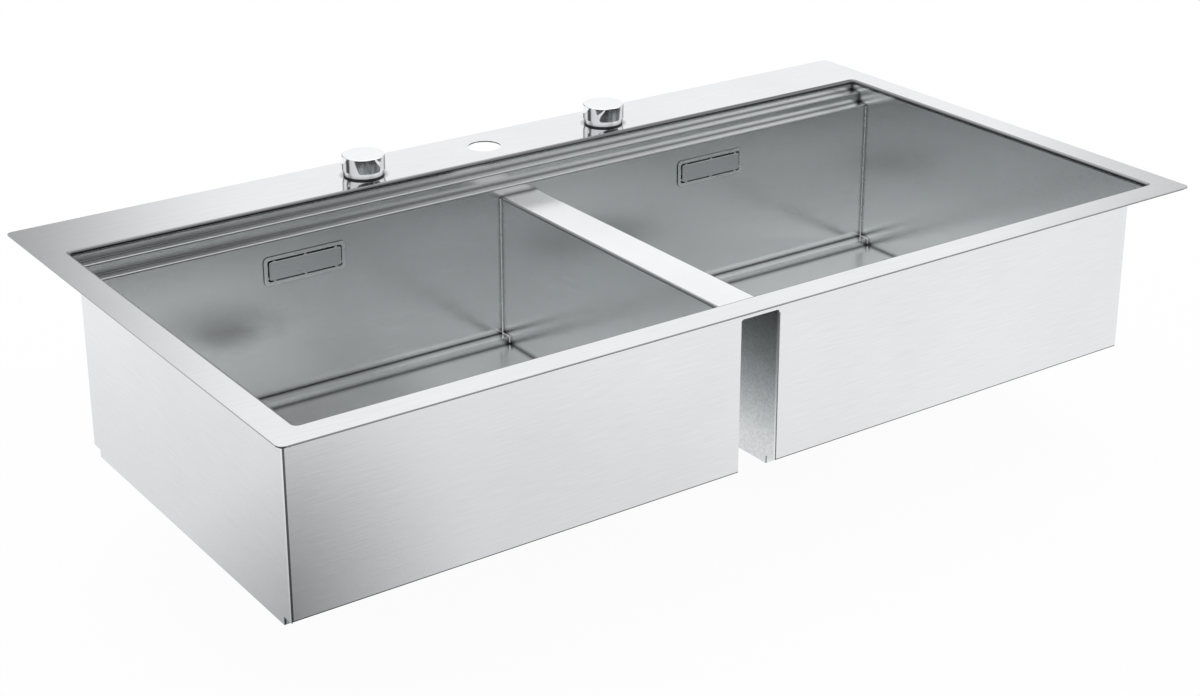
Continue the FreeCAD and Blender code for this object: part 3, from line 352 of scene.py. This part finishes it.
# %% Grain direction
def face_parts(tree):
    """How far each face points along the three axes, without sign."""
    normal = add(tree, "NewGeometry").outputs["True Normal"]
    size = add(tree, "VectorMath", {0: normal}, operation="ABSOLUTE").outputs[0]
    parts = add(tree, "SeparateXYZ", {0: size})
    return parts.outputs["X"], parts.outputs["Y"], parts.outputs["Z"]


def grain_vector(tree, along, across):
    """Coordinates drawn out along the level direction of each face."""
    where = add(tree, "SeparateXYZ", {0: object_place(tree)})
    to_side = maths(tree, "GREATER_THAN", face_parts(tree)[0], 0.7)
    long_way = add(tree, "Mix", {0: to_side, 2: where.outputs["X"], 3: where.outputs["Y"]})
    short_way = add(tree, "Mix", {0: to_side, 2: where.outputs["Y"], 3: where.outputs["X"]})
    return add(tree, "CombineXYZ", {
        0: maths(tree, "MULTIPLY", long_way.outputs[0], along),
        1: maths(tree, "MULTIPLY", short_way.outputs[0], across),
        2: maths(tree, "MULTIPLY", where.outputs["Z"], across)}).outputs[0]


def level_tangent(tree):
    """The level direction in each face. A small push along X keeps it from being zero on flats."""
    normal = add(tree, "NewGeometry").outputs["Normal"]
    level = add(tree, "VectorMath", {0: normal, 1: (0, 0, 1)}, operation="CROSS_PRODUCT")
    return add(tree, "VectorMath", {0: level.outputs[0], 1: (0.05, 0, 0)},
               operation="ADD").outputs[0]


# %% [markdown]
# ## Painted shade on bends and inside corners
# Thin dark lines make sheet metal read as folded. Bends get a darker colour, which is painted
# shade, and the lower a bend lies the darker it is painted. Tight inside corners get a darker
# colour too, painted shade for the little light that gets in there. Lines could be drawn along
# each fold, but two masks find the folds by themselves: a bend's face points between two axes,
# and a corner sees little of its surroundings.

# %% Painted shade on bends and corners
def painted_bend_shade(tree, level):
    """Painted shade: 1 on flats, level on bends, which point between two axes, less on deep bends.
    """
    x, y, z = face_parts(tree)
    most = maths(tree, "MAXIMUM", maths(tree, "MAXIMUM", x, y), z)
    bent = maths(tree, "LESS_THAN", most, 0.998)
    where = add(tree, "SeparateXYZ", {0: object_place(tree)})
    # Painted shade: the lower the bend lies, the darker its colour.
    here = remap(tree, where.outputs["Z"], level, level * 0.08, -0.05, -0.17)
    return add(tree, "Mix", {0: bent, 2: 1.0, 3: here}).outputs[0]


def painted_corner_shade(tree, reach, closed):
    """Painted shade: 1 in the open, almost 0 where no more than the closed share of the sky is
    seen.
    """
    open_share = add(tree, "AmbientOcclusion", {"Distance": reach}, samples=8).outputs["AO"]
    return remap(tree, open_share, 0.05, 1.0, closed, 0.85)


# %% [markdown]
# ## Brushed steel
# The scratches change three things a little: the tone, the gloss and the height. One fine noise
# drives all three, so that they agree. Longer strokes and large soft clouds keep a wide sheet
# from looking printed. Nearly all values of a noise lie close to its middle, so each is remapped
# from that part. The stretched reflection itself comes from the shader's anisotropic gloss.

# %% Brushed steel
FINE_GRAIN = (30.0, 800.0)
LONG_STROKES = (9.0, 420.0)
USUAL = (0.3, 0.7)


def brushed_steel(name, sheet_tones, stretch, bend_shade_level, closed=0.28):
    """Steel with a level grain. sheet_tones gives its colour and roughness for a tree."""
    material, tree, shader = new_material(name)
    tone, dullness = sheet_tones(tree)
    grain = noise(tree, grain_vector(tree, *FINE_GRAIN), 1.0, 3.0)
    strokes = noise(tree, grain_vector(tree, *LONG_STROKES), 1.0, 2.0)
    clouds = noise(tree, object_place(tree), 7.0, 3.0)
    shade = maths(tree, "ADD", remap(tree, grain, 0.97, 1.02, *USUAL),
                  remap(tree, clouds, -0.02, 0.02, *USUAL))
    shade = maths(tree, "ADD", shade, remap(tree, strokes, 0.0, 0.04, 0.66, 0.8))
    # Painted shade: the colour is darkened on bends and in tight inside corners.
    shade = maths(tree, "MULTIPLY", shade, painted_bend_shade(tree, bend_shade_level))
    shade = maths(tree, "MULTIPLY", shade, painted_corner_shade(tree, 0.008, closed))
    tree.links.new(scaled(tree, tone, shade), shader.inputs["Base Color"])
    rough = maths(tree, "MULTIPLY", dullness, remap(tree, grain, 0.93, 1.08, *USUAL))
    rough = maths(tree, "ADD", rough, remap(tree, clouds, -0.012, 0.015, *USUAL))
    tree.links.new(rough, shader.inputs["Roughness"])
    bump = add(tree, "Bump", {"Height": grain, "Strength": 0.05, "Distance": 0.00002})
    tree.links.new(bump.outputs[0], shader.inputs["Normal"])
    tree.links.new(level_tangent(tree), shader.inputs["Tangent"])
    shader.inputs["Metallic"].default_value = 1
    shader.inputs["Anisotropic"].default_value = stretch
    return material


# %% [markdown]
# ## Tones of simple sheets
# A drain looks the same all over. The deck and the overflow plates are cut from flat sheet, and
# their edges get a darker colour, which is painted shade: the thin dark line at the deck's edges
# and the dark slot round each overflow plate. A second material on the edges would do, but the
# solid's mesh may not change, so the tone asks which way the face points.

# %% Tones of simple sheets
def blend(tree, share, first, second):
    """A colour between two, each a plain (r, g, b) or a node's output."""
    colours = [one + (1,) if isinstance(one, tuple) else one for one in (first, second)]
    return add(tree, "MixRGB", {"Fac": share, "Color1": colours[0],
                                "Color2": colours[1]}).outputs[0]


def even(colour, gloss_loss):
    """The tones of a piece that looks the same all over."""
    return lambda tree: (colour, gloss_loss)


def cut_sheet(colour, gloss_loss, flat, edge_shade_share):
    """The tones of a sheet that lies flat to one axis, with painted shade on its edges."""
    def tones(tree):
        on_flat = maths(tree, "GREATER_THAN", face_parts(tree)["XYZ".index(flat)], 0.3)
        # Painted shade: the edges get a darker colour.
        edge = tuple(part * edge_shade_share for part in colour)
        return blend(tree, on_flat, edge, colour), gloss_loss
    return tones


# %% [markdown]
# ## Where the bowls' tones change
# The sheet's outside gets a darker colour than the bowls' inside. One sheet shows both, so a mask
# picks the side by asking if the surface faces the middle of its bowl.
# The plates that face each other across the gap are duller, with a coarse grit, and painted shade
# darkens them near the top. The outer corners get a painted highlight, a bright band at the front
# of the side faces, and a painted dark reflection, thin dark lines on the front faces at the gap
# and at the left end. All places are in metres from the middle of the rim.

# %% Masks of the bowls
bowl_middle = (0.25275, -0.0265, 0.12)
floors_below = -0.186
middle_plates_within, gap_within = 0.03, 0.0225
# Painted highlight band on the side faces, and painted dark reflection lines on the front faces.
highlight_band_y, half_highlight_band = -0.2251, 0.0014
dark_line_x, half_dark_line, dark_line_top = 0.0226, 0.0007, -0.034
left_dark_line_x = -0.4814


def all_of(tree, first, *others):
    """A mask that is 1 only where all of its masks are."""
    for mask in others:
        first = maths(tree, "MULTIPLY", first, mask)
    return first


def inside_mask(tree, shape, x, y, z):
    """1 where a surface faces the middle of its bowl."""
    middle_x = maths(tree, "MULTIPLY", maths(tree, "SIGN", x), bowl_middle[0])
    to_middle = add(tree, "CombineXYZ", {0: maths(tree, "SUBTRACT", middle_x, x),
                                         1: maths(tree, "SUBTRACT", bowl_middle[1], y),
                                         2: maths(tree, "SUBTRACT", bowl_middle[2], z)})
    facing = add(tree, "VectorMath", {0: to_middle.outputs[0],
                                      1: shape.outputs["True Normal"]},
                 operation="DOT_PRODUCT")
    return maths(tree, "GREATER_THAN", facing.outputs["Value"], 0.0)


def gap_grit_and_shade(tree, place, z):
    """The tone of the plates in the gap: gritty, with painted shade that darkens it near the top.
    """
    level = maths(tree, "MULTIPLY", remap(tree, z, 0.8, 0.46, -0.16, -0.035),
                  remap(tree, noise(tree, place, 520.0, 3.0), 0.9, 1.12, 0.35, 0.65))
    return scaled(tree, (0.98, 1, 1.01), level)


def dark_corner_lines(tree, x, z):
    """1 on the thin lines at the gap and at the left end, a painted dark reflection at the
    corners.
    """
    at_gap = all_of(tree, maths(tree, "COMPARE", x, dark_line_x, half_dark_line),
                    maths(tree, "LESS_THAN", z, dark_line_top))
    return maths(tree, "MAXIMUM", at_gap, maths(tree, "LESS_THAN", x, left_dark_line_x))


# %% [markdown]
# ## Tones of the bowls
# Each mask now lays its tone over the ones before it, from the largest area to the thinnest
# line. Separate materials would need cut meshes, and one tree keeps the grain running through.

# %% Tones of the bowls
def bowl_tones(tree):
    """Colour and roughness on each side of the bowls' sheets."""
    shape = add(tree, "NewGeometry")
    place = shape.outputs["Position"]
    where = add(tree, "SeparateXYZ", {0: place})
    x, y, z = (where.outputs[axis] for axis in "XYZ")
    from_middle = maths(tree, "ABSOLUTE", x)
    face_x, face_y, face_z = face_parts(tree)
    to_side = maths(tree, "GREATER_THAN", face_x, 0.7)
    to_front = maths(tree, "GREATER_THAN", face_y, 0.7)
    inside = inside_mask(tree, shape, x, y, z)
    outside = maths(tree, "SUBTRACT", 1.0, inside)
    # Painted shade: the bowls' floors get a darker colour.
    on_shaded_floor = all_of(tree, maths(tree, "GREATER_THAN", face_z, 0.95),
                      maths(tree, "LESS_THAN", z, floors_below))
    # Painted shade: the middle plates' faces inside the bowls get a darker colour.
    on_shaded_middle_plate = all_of(tree, to_side, inside,
                             maths(tree, "LESS_THAN", from_middle, middle_plates_within))
    in_gap = all_of(tree, maths(tree, "LESS_THAN", from_middle, gap_within), to_side)
    on_highlight_band = all_of(tree, maths(tree, "COMPARE", y, highlight_band_y, half_highlight_band), to_side, outside)
    on_dark_line = all_of(tree, dark_corner_lines(tree, x, z), to_front, outside)
    tone = blend(tree, inside, (0.8, 0.81, 0.83), (0.87, 0.885, 0.89))
    tone = blend(tree, on_shaded_floor, tone, (0.72, 0.735, 0.74))
    tone = blend(tree, on_shaded_middle_plate, tone, (0.7, 0.715, 0.72))
    tone = blend(tree, in_gap, tone, gap_grit_and_shade(tree, place, z))
    # Painted highlight on the band, then painted dark reflection on the corner lines.
    tone = blend(tree, on_highlight_band, tone, (0.95, 0.95, 0.96))
    tone = blend(tree, on_dark_line, tone, (0.16, 0.17, 0.175))
    dullness = add(tree, "Mix", {0: in_gap, 2: 0.2, 3: 0.3}).outputs[0]
    return tone, dullness


# %% [markdown]
# ## The four brushed finishes
# The deck is the glossiest, the bowls are satin, the overflow plates are duller, and the drains
# are bright, with a gloss that is stretched less. Each is one call, which gives the tones, the
# stretch of the gloss and how dark the painted shade on the bends is.

# %% Brushed finishes
deck_tones = cut_sheet((0.82, 0.83, 0.85), 0.1, "Z", 0.4)
plate_tones = cut_sheet((0.78, 0.79, 0.8), 0.3, "Y", 0.05)
drain_tones = even((0.95, 0.955, 0.96), 0.26)
finishes = {
    "brushed_steel": brushed_steel("deck_steel", deck_tones, 0.55, 0.25),
    "bowl_steel": brushed_steel("bowl_steel", bowl_tones, 0.5, 0.42),
    "satin_plate": brushed_steel("satin_plate", plate_tones, 0.5, 0.8),
    "polished_steel": brushed_steel("polished_steel", drain_tones, 0.3, 1.0, 0.5),
}
print("brushed finishes:", ", ".join(finishes))

# %% [markdown]
# ## Chrome, turned steel, brass and zinc
# The knobs are plated and buffed until they mirror the room. What keeps a mirror from looking
# fake is a trace of handling: a gloss that changes a little over the surface. Turned parts are
# duller, with a finer pattern, and zinc plate has crystals, which a cell texture gives.

# %% Smooth and plated metals
def plated_metal(name, colour, gloss_loss, pattern_scale, contrast, cells=False):
    """A smooth metal with faint smears, or with plating crystals."""
    material, tree, shader = new_material(name)
    place = object_place(tree)
    if cells:
        pattern = add(tree, "TexVoronoi", {"Vector": place, "Scale": pattern_scale})
        value = pattern.outputs["Distance"]
    else:
        value = noise(tree, place, pattern_scale, 6.0)
    shade = remap(tree, value, 1 - contrast, 1 + contrast, 0.25, 0.75)
    tree.links.new(scaled(tree, colour, shade), shader.inputs["Base Color"])
    rough = remap(tree, value, gloss_loss * 0.7, gloss_loss * 1.4, 0.25, 0.75)
    tree.links.new(rough, shader.inputs["Roughness"])
    bump = add(tree, "Bump", {"Height": value, "Strength": 0.1, "Distance": 0.00002})
    tree.links.new(bump.outputs[0], shader.inputs["Normal"])
    shader.inputs["Metallic"].default_value = 1
    return material


finishes["chrome"] = plated_metal("chrome", (0.9, 0.905, 0.92), 0.03, 60.0, 0.02)
finishes["zinc_steel"] = plated_metal("zinc_steel", (0.66, 0.67, 0.68), 0.34, 700.0, 0.12, True)
finishes["screw_steel"] = plated_metal("screw_steel", (0.7, 0.7, 0.71), 0.2, 900.0, 0.05)
finishes["pin_steel"] = plated_metal("pin_steel", (0.72, 0.72, 0.73), 0.18, 500.0, 0.04)
finishes["brass_sleeve"] = plated_metal("brass_sleeve", (0.74, 0.57, 0.3), 0.26, 240.0, 0.08)
print(len(finishes), "metal finishes")

# %% [markdown]
# ## Rubber, foam, damping sheet and moulded plastic
# The dark pieces under the rim are not shiny black. Each has a grain of its own size: fine for
# moulded plastic, a cell pattern for the foam strip, and coarse and dusty for the damping sheet.
# One function makes them all, because they differ only in colour, grain and depth.

# %% Soft and moulded finishes
def moulded(name, colour, gloss_loss, grain_scale, depth, dust=0.06, cells=False):
    """A dull material with a fine surface grain, slightly uneven colour and painted shade in
    hollows.
    """
    material, tree, shader = new_material(name)
    place = object_place(tree)
    kind = "TexVoronoi" if cells else "TexNoise"
    grain = add(tree, kind, {"Vector": place, "Scale": grain_scale}).outputs[0]
    lighter = tuple(min(1, part * (1 + dust * 4) + dust * 0.12) for part in colour)
    patches = remap(tree, noise(tree, place, 25.0, 5.0), 0.0, 1.0, 0.35, 0.75)
    tone = blend(tree, patches, colour, lighter)
    # Painted shade: the colour is darkened in hollows and inside corners.
    shade = painted_corner_shade(tree, 0.02, 0.28)
    tree.links.new(scaled(tree, tone, shade), shader.inputs["Base Color"])
    rough = remap(tree, grain, gloss_loss * 0.85, min(1, gloss_loss * 1.15))
    tree.links.new(rough, shader.inputs["Roughness"])
    bump = add(tree, "Bump", {"Height": grain, "Strength": 0.5, "Distance": depth})
    tree.links.new(bump.outputs[0], shader.inputs["Normal"])
    return material


finishes["black_rubber"] = moulded("black_rubber", (0.028, 0.028, 0.03), 0.55, 1500.0, 0.0001)
finishes["seal_foam"] = moulded("seal_foam", (0.045, 0.045, 0.05), 0.85, 900.0, 0.0003, cells=True)
finishes["damping_pad"] = moulded("damping_pad", (0.12, 0.12, 0.13), 0.8, 500.0, 0.0002, 0.12)
finishes["grey_plastic"] = moulded("grey_plastic", (0.4, 0.41, 0.42), 0.42, 1200.0, 0.00005)
finishes["dark_plastic"] = moulded("dark_plastic", (0.05, 0.05, 0.055), 0.4, 1200.0, 0.00005)
print(len(finishes), "finishes in all")

# %% [markdown]
# ## Dressing the solids
# The model's record says of which stuff each solid is made. Reading it there is safer than a
# second list here, which could fall out of step with the model.

# %% Give each solid its finish
slot_of = {row["node"]: row["material_slot"] for row in frame["record"]["subparts"]}
for name, solid in nodes.items():
    solid.data.materials.clear()
    solid.data.materials.append(finishes[slot_of[name]])
print("finishes given to", len(nodes), "solids")

# %% [markdown]
# ## A lathe in mesh code
# Knobs, sleeves and screws are turned: a profile is cut while the work spins. A screw modifier
# can spin a profile too. This short function does it directly, so that several shapes can go into
# one mesh, and so that a point on the axis stays a single corner.

# %% Lathe
MM = 0.001


def arc(centre, radius, start, end, steps=6):
    """Points of an arc in the profile plane, with angles in degrees."""
    points = []
    for step in range(steps + 1):
        angle = math.radians(start + (end - start) * step / steps)
        points.append((centre[0] + radius * math.cos(angle),
                       centre[1] + radius * math.sin(angle)))
    return points


def lathe(shape, profile, centre, sides):
    """Adds a profile of (radius, height) points in mm, spun round an upright axis."""
    rings = []
    for radius, height in profile:
        ring_corners = []
        for side in range(sides if radius > 0 else 1):
            angle = 2 * math.pi * side / sides
            ring_corners.append(shape.verts.new((centre[0] + radius * MM * math.cos(angle),
                                                 centre[1] + radius * MM * math.sin(angle),
                                                 centre[2] + height * MM)))
        rings.append(ring_corners)
    for lower, upper in zip(rings, rings[1:]):
        for side in range(sides):
            after = (side + 1) % sides
            corners = []
            for corner in (lower[side % len(lower)], lower[after % len(lower)],
                           upper[after % len(upper)], upper[side % len(upper)]):
                if corner not in corners:
                    corners.append(corner)
            if len(corners) > 2:
                shape.faces.new(corners)


# %% [markdown]
# ## Finishing a mesh
# Spun profiles and welds leave doubled corners and faces that point either way. This step joins
# them, turns every face outward and smooths the curves, but keeps the edges that are sharper
# than a set angle. Smoothing everything would make flat steel look swollen.

# %% Finishing a mesh
def finished(name, shape, crease=35):
    """A mesh piece from a bmesh, joined up, with outward normals and smooth curves."""
    bmesh.ops.remove_doubles(shape, verts=shape.verts, dist=1e-6)
    bmesh.ops.recalc_face_normals(shape, faces=shape.faces)
    data = bpy.data.meshes.new(name)
    shape.to_mesh(data)
    shape.free()
    data.shade_smooth()
    data.set_sharp_from_angle(angle=math.radians(crease))
    return mesh_piece(name, data)


def spun(name, profile, centre, sides=96, crease=35):
    """A piece of one spun profile."""
    shape = bmesh.new()
    lathe(shape, profile, centre, sides)
    return finished(name, shape, crease)


# %% [markdown]
# ## Knobs
# Each knob is a short thick disc, turned from bar and chromed. The solid has its plain form, and
# the small roundings are what it lacks. They matter more than anything else here, because on
# chrome they are where the bright lines come from, so each edge is an arc of several points. The
# profile starts on top at the axis and ends in the hollow below, where the spindle goes in.

# %% Knobs
knob_height = 22.4
knob_profile = (
    [(0, 22.05), (10, 22.1), (19.5, 22.3)]
    + arc((21.35, 21.5), 0.9, 90, 0)
    + [(22.25, 14), (22.25, 7.6)]
    + arc((21.65, 7.3), 0.6, 0, -20, 3)
    + [(20.95, 1.9)]
    + arc((20.4, 2.0), 0.55, -10, -90, 4)
    + [(18.6, 1.5), (18.6, 10.4), (8.2, 10.4), (8.2, 3.0), (5.1, 3.0), (5.1, 13), (0, 13)]
)
for hand in hands:
    low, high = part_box("knob_" + hand)
    centre = ((low[0] + high[0]) / 2, (low[1] + high[1]) / 2, high[2] - knob_height * MM)
    knob = spun("knob_cap_" + hand, knob_profile, centre)
    knob.data.materials.append(finishes["chrome"])
    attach(knob, "control_" + hand)
    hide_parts("knob_" + hand)
    print(knob.name, "has", len(knob.data.polygons), "faces")

# %% [markdown]
# ## Corner welds
# Each folded wall is welded to flat plates at its ends. Inside the bowl the weld is ground to a
# small hollow curve that runs down the corner, over the shelf and down to the floor, and this
# curve is what catches a thin line of light. The path is given once as points with the direction
# that leads off the wall, and a short profile is laid at each point and joined to the next.

# %% Weld profile
weld_radius = 1.1
weld_sink = 0.3


def weld_run(shape, plate, into, path):
    """Adds one hollow weld along a path of (y, z, off y, off z) at a plate's face, in mm."""
    profile = [(-weld_sink, -weld_sink), (weld_radius, -weld_sink)]
    for step in range(6):
        angle = math.radians(18 * step)
        profile.append((weld_radius * (1 - math.sin(angle)),
                        weld_radius * (1 - math.cos(angle))))
    profile.append((-weld_sink, weld_radius))
    rings = []
    for y, z, off_y, off_z in path:
        rings.append([shape.verts.new(((plate + into * along) * MM, (y + off_y * off) * MM,
                                       (z + off_z * off) * MM)) for along, off in profile])
    for lower, upper in zip(rings, rings[1:]):
        for place in range(len(profile)):
            after = (place + 1) % len(profile)
            shape.faces.new((lower[place], lower[after], upper[after], upper[place]))
    shape.faces.new(rings[0])
    shape.faces.new(rings[-1])


# %% [markdown]
# ## Eight corners
# Two bowls with four corners each have eight such welds. All are one piece, because on the real
# sink they are one with the sheets. Each plate is given by its face, the way into its bowl and
# the height where its weld starts, and each wall by its face, the end of its shelf and the way
# into the bowl.

# %% Corner welds
shelf_height = -183.5
floor_edge = -190.2
plates = ((-482.5, 1, -22), (-23, -1, -32), (23, 1, -32), (482.5, -1, -22))
walls = ((-225.3, -212.0, 1), (172.3, 159.0, -1))
shape = bmesh.new()
for plate, into, top in plates:
    for wall, shelf_end, off in walls:
        weld_run(shape, plate, into, [(wall, top, off, 0), (wall, shelf_height, off, 1),
                                      (shelf_end, shelf_height, off, 1),
                                      (shelf_end, floor_edge, off, 0)])
welds = finished("corner_welds", shape)
ground_steel = plated_metal("ground_steel", (0.95, 0.955, 0.96), 0.24, 300.0, 0.05)
welds.data.materials.append(ground_steel)
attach(welds, "sink")
print("corner welds have", len(welds.data.polygons), "faces")

# %% [markdown]
# ## Lugs round the overflow plates
# The overflow plate sits in a dark slot. A few short lugs keep it centred, and they show as
# light marks across the black line. They are too small for the solid model. Each is a block with
# its edges rounded, set a hair into the plate so that no gap shows.

# %% Overflow lugs
def block(shape, low, high):
    """Adds a box between two corners, in metres."""
    made = bmesh.ops.create_cube(shape, size=1)["verts"]
    for corner in made:
        for axis in range(3):
            corner.co[axis] = low[axis] if corner.co[axis] < 0 else high[axis]


lug_reach, half_lug, lug_depth, lug_hold = 1.7 * MM, 1.2 * MM, 0.7 * MM, 0.2 * MM
plate_height = 19 * MM
lug_rounding = 0.15 * MM
for hand in hands:
    low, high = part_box("overflow_cover_" + hand)
    middle_x = (low[0] + high[0]) / 2
    top = high[2] - 1.4 * MM
    bottom = top - plate_height
    front = low[1] + 0.5 * MM
    back = front + lug_depth
    shape = bmesh.new()
    for along in (0, 34 * MM):
        for edge, end in ((top, top + lug_reach), (bottom - lug_reach, bottom)):
            block(shape, (middle_x + along - half_lug, front, edge - lug_hold),
                  (middle_x + along + half_lug, back, end + lug_hold))
    for edge in (low[0] - lug_reach, high[0]):
        block(shape, (edge - lug_hold, front, bottom + 1.6 * MM),
              (edge + lug_reach - lug_hold, back, bottom + 3.4 * MM))
    bmesh.ops.bevel(shape, geom=list(shape.edges), offset=lug_rounding, segments=2,
                    affect="EDGES")
    lugs = finished("overflow_lugs_" + hand, shape)
    lugs.data.materials.append(ground_steel)
    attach(lugs, "cover_" + hand)
    print(lugs.name, "has", len(lugs.data.polygons), "faces")

# %% [markdown]
# ## Threaded sleeves
# A threaded sleeve clamps each knob to the deck, and in the solid model it is a plain tube. A
# true thread climbs as a helix. Seen from arm's length it is a stack of sharp rings, so the
# sleeve is a spun profile with a zigzag edge, which is light and closes by itself.

# %% Threaded sleeves
crest, root, pitch = 16.0, 15.1, 1.5
sleeve_x, sleeve_y = 150, 232
thread = [(18, 5.9), (18, 4.5), (17.8, 4.3), (crest, 4.3), (crest, 2.6)]
height = 2.6
while height > -29:
    thread += [(root, height - pitch / 2), (crest, height - pitch)]
    height -= pitch
thread += [(crest, -30.2), (15.4, -30.8), (5.05, -30.8), (5.05, 5.9), (18, 5.9)]
for hand, side in hands.items():
    centre = (side * sleeve_x * MM, sleeve_y * MM, 0)
    sleeve = spun("threaded_sleeve_" + hand, thread, centre, 64, 20)
    sleeve.data.materials.append(finishes["brass_sleeve"])
    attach(sleeve, "sink")
    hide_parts("knob_sleeve_" + hand)
    print(sleeve.name, "has", len(sleeve.data.polygons), "faces")

# %% [markdown]
# ## Drain screws
# Three screws clamp each drain, and their heads show when the basket is lifted out. A boolean
# could cut the cross, but it leaves long thin faces. Here the corners of the mesh that lie
# inside the two arms are pushed down instead, and the rings of the profile are set close
# together where the cross needs them.

# %% Drain screws
screw_profile = [(0, 1.6), (0.5, 1.6), (1.2, 1.58), (1.7, 1.54), (2.2, 1.48), (2.3, 1.46),
                 (2.9, 1.2), (3.4, 0.7), (3.6, 0.2), (3.6, 0), (2, 0), (2, -13.2),
                 (1.4, -14), (0, -14)]
drain_x, drain_y, screw_seat, screw_circle = 252.75, -26.5, -197.6, 50.2
half_arm, arm_reach, cross_depth, head_rim = 0.32, 2.25, 1.0, 1.4
shape = bmesh.new()
for side in hands.values():
    for turn in (0, 120, 240):
        angle = math.radians(turn)
        centre = Vector((side * drain_x + screw_circle * math.cos(angle),
                         drain_y + screw_circle * math.sin(angle), screw_seat)) * MM
        before = len(shape.verts)
        lathe(shape, screw_profile, centre, 48)
        shape.verts.ensure_lookup_table()
        for corner in shape.verts[before:]:
            off = (corner.co - centre) / MM
            near_arm = min(abs(off.x), abs(off.y)) < half_arm
            if near_arm and math.hypot(off.x, off.y) < arm_reach and off.z > head_rim:
                corner.co.z -= cross_depth * MM
screws = finished("drain_screws", shape, 30)
screws.data.materials.append(finishes["screw_steel"])
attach(screws, "sink")
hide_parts("flange_screws")
print("drain screws have", len(screws.data.polygons), "faces")
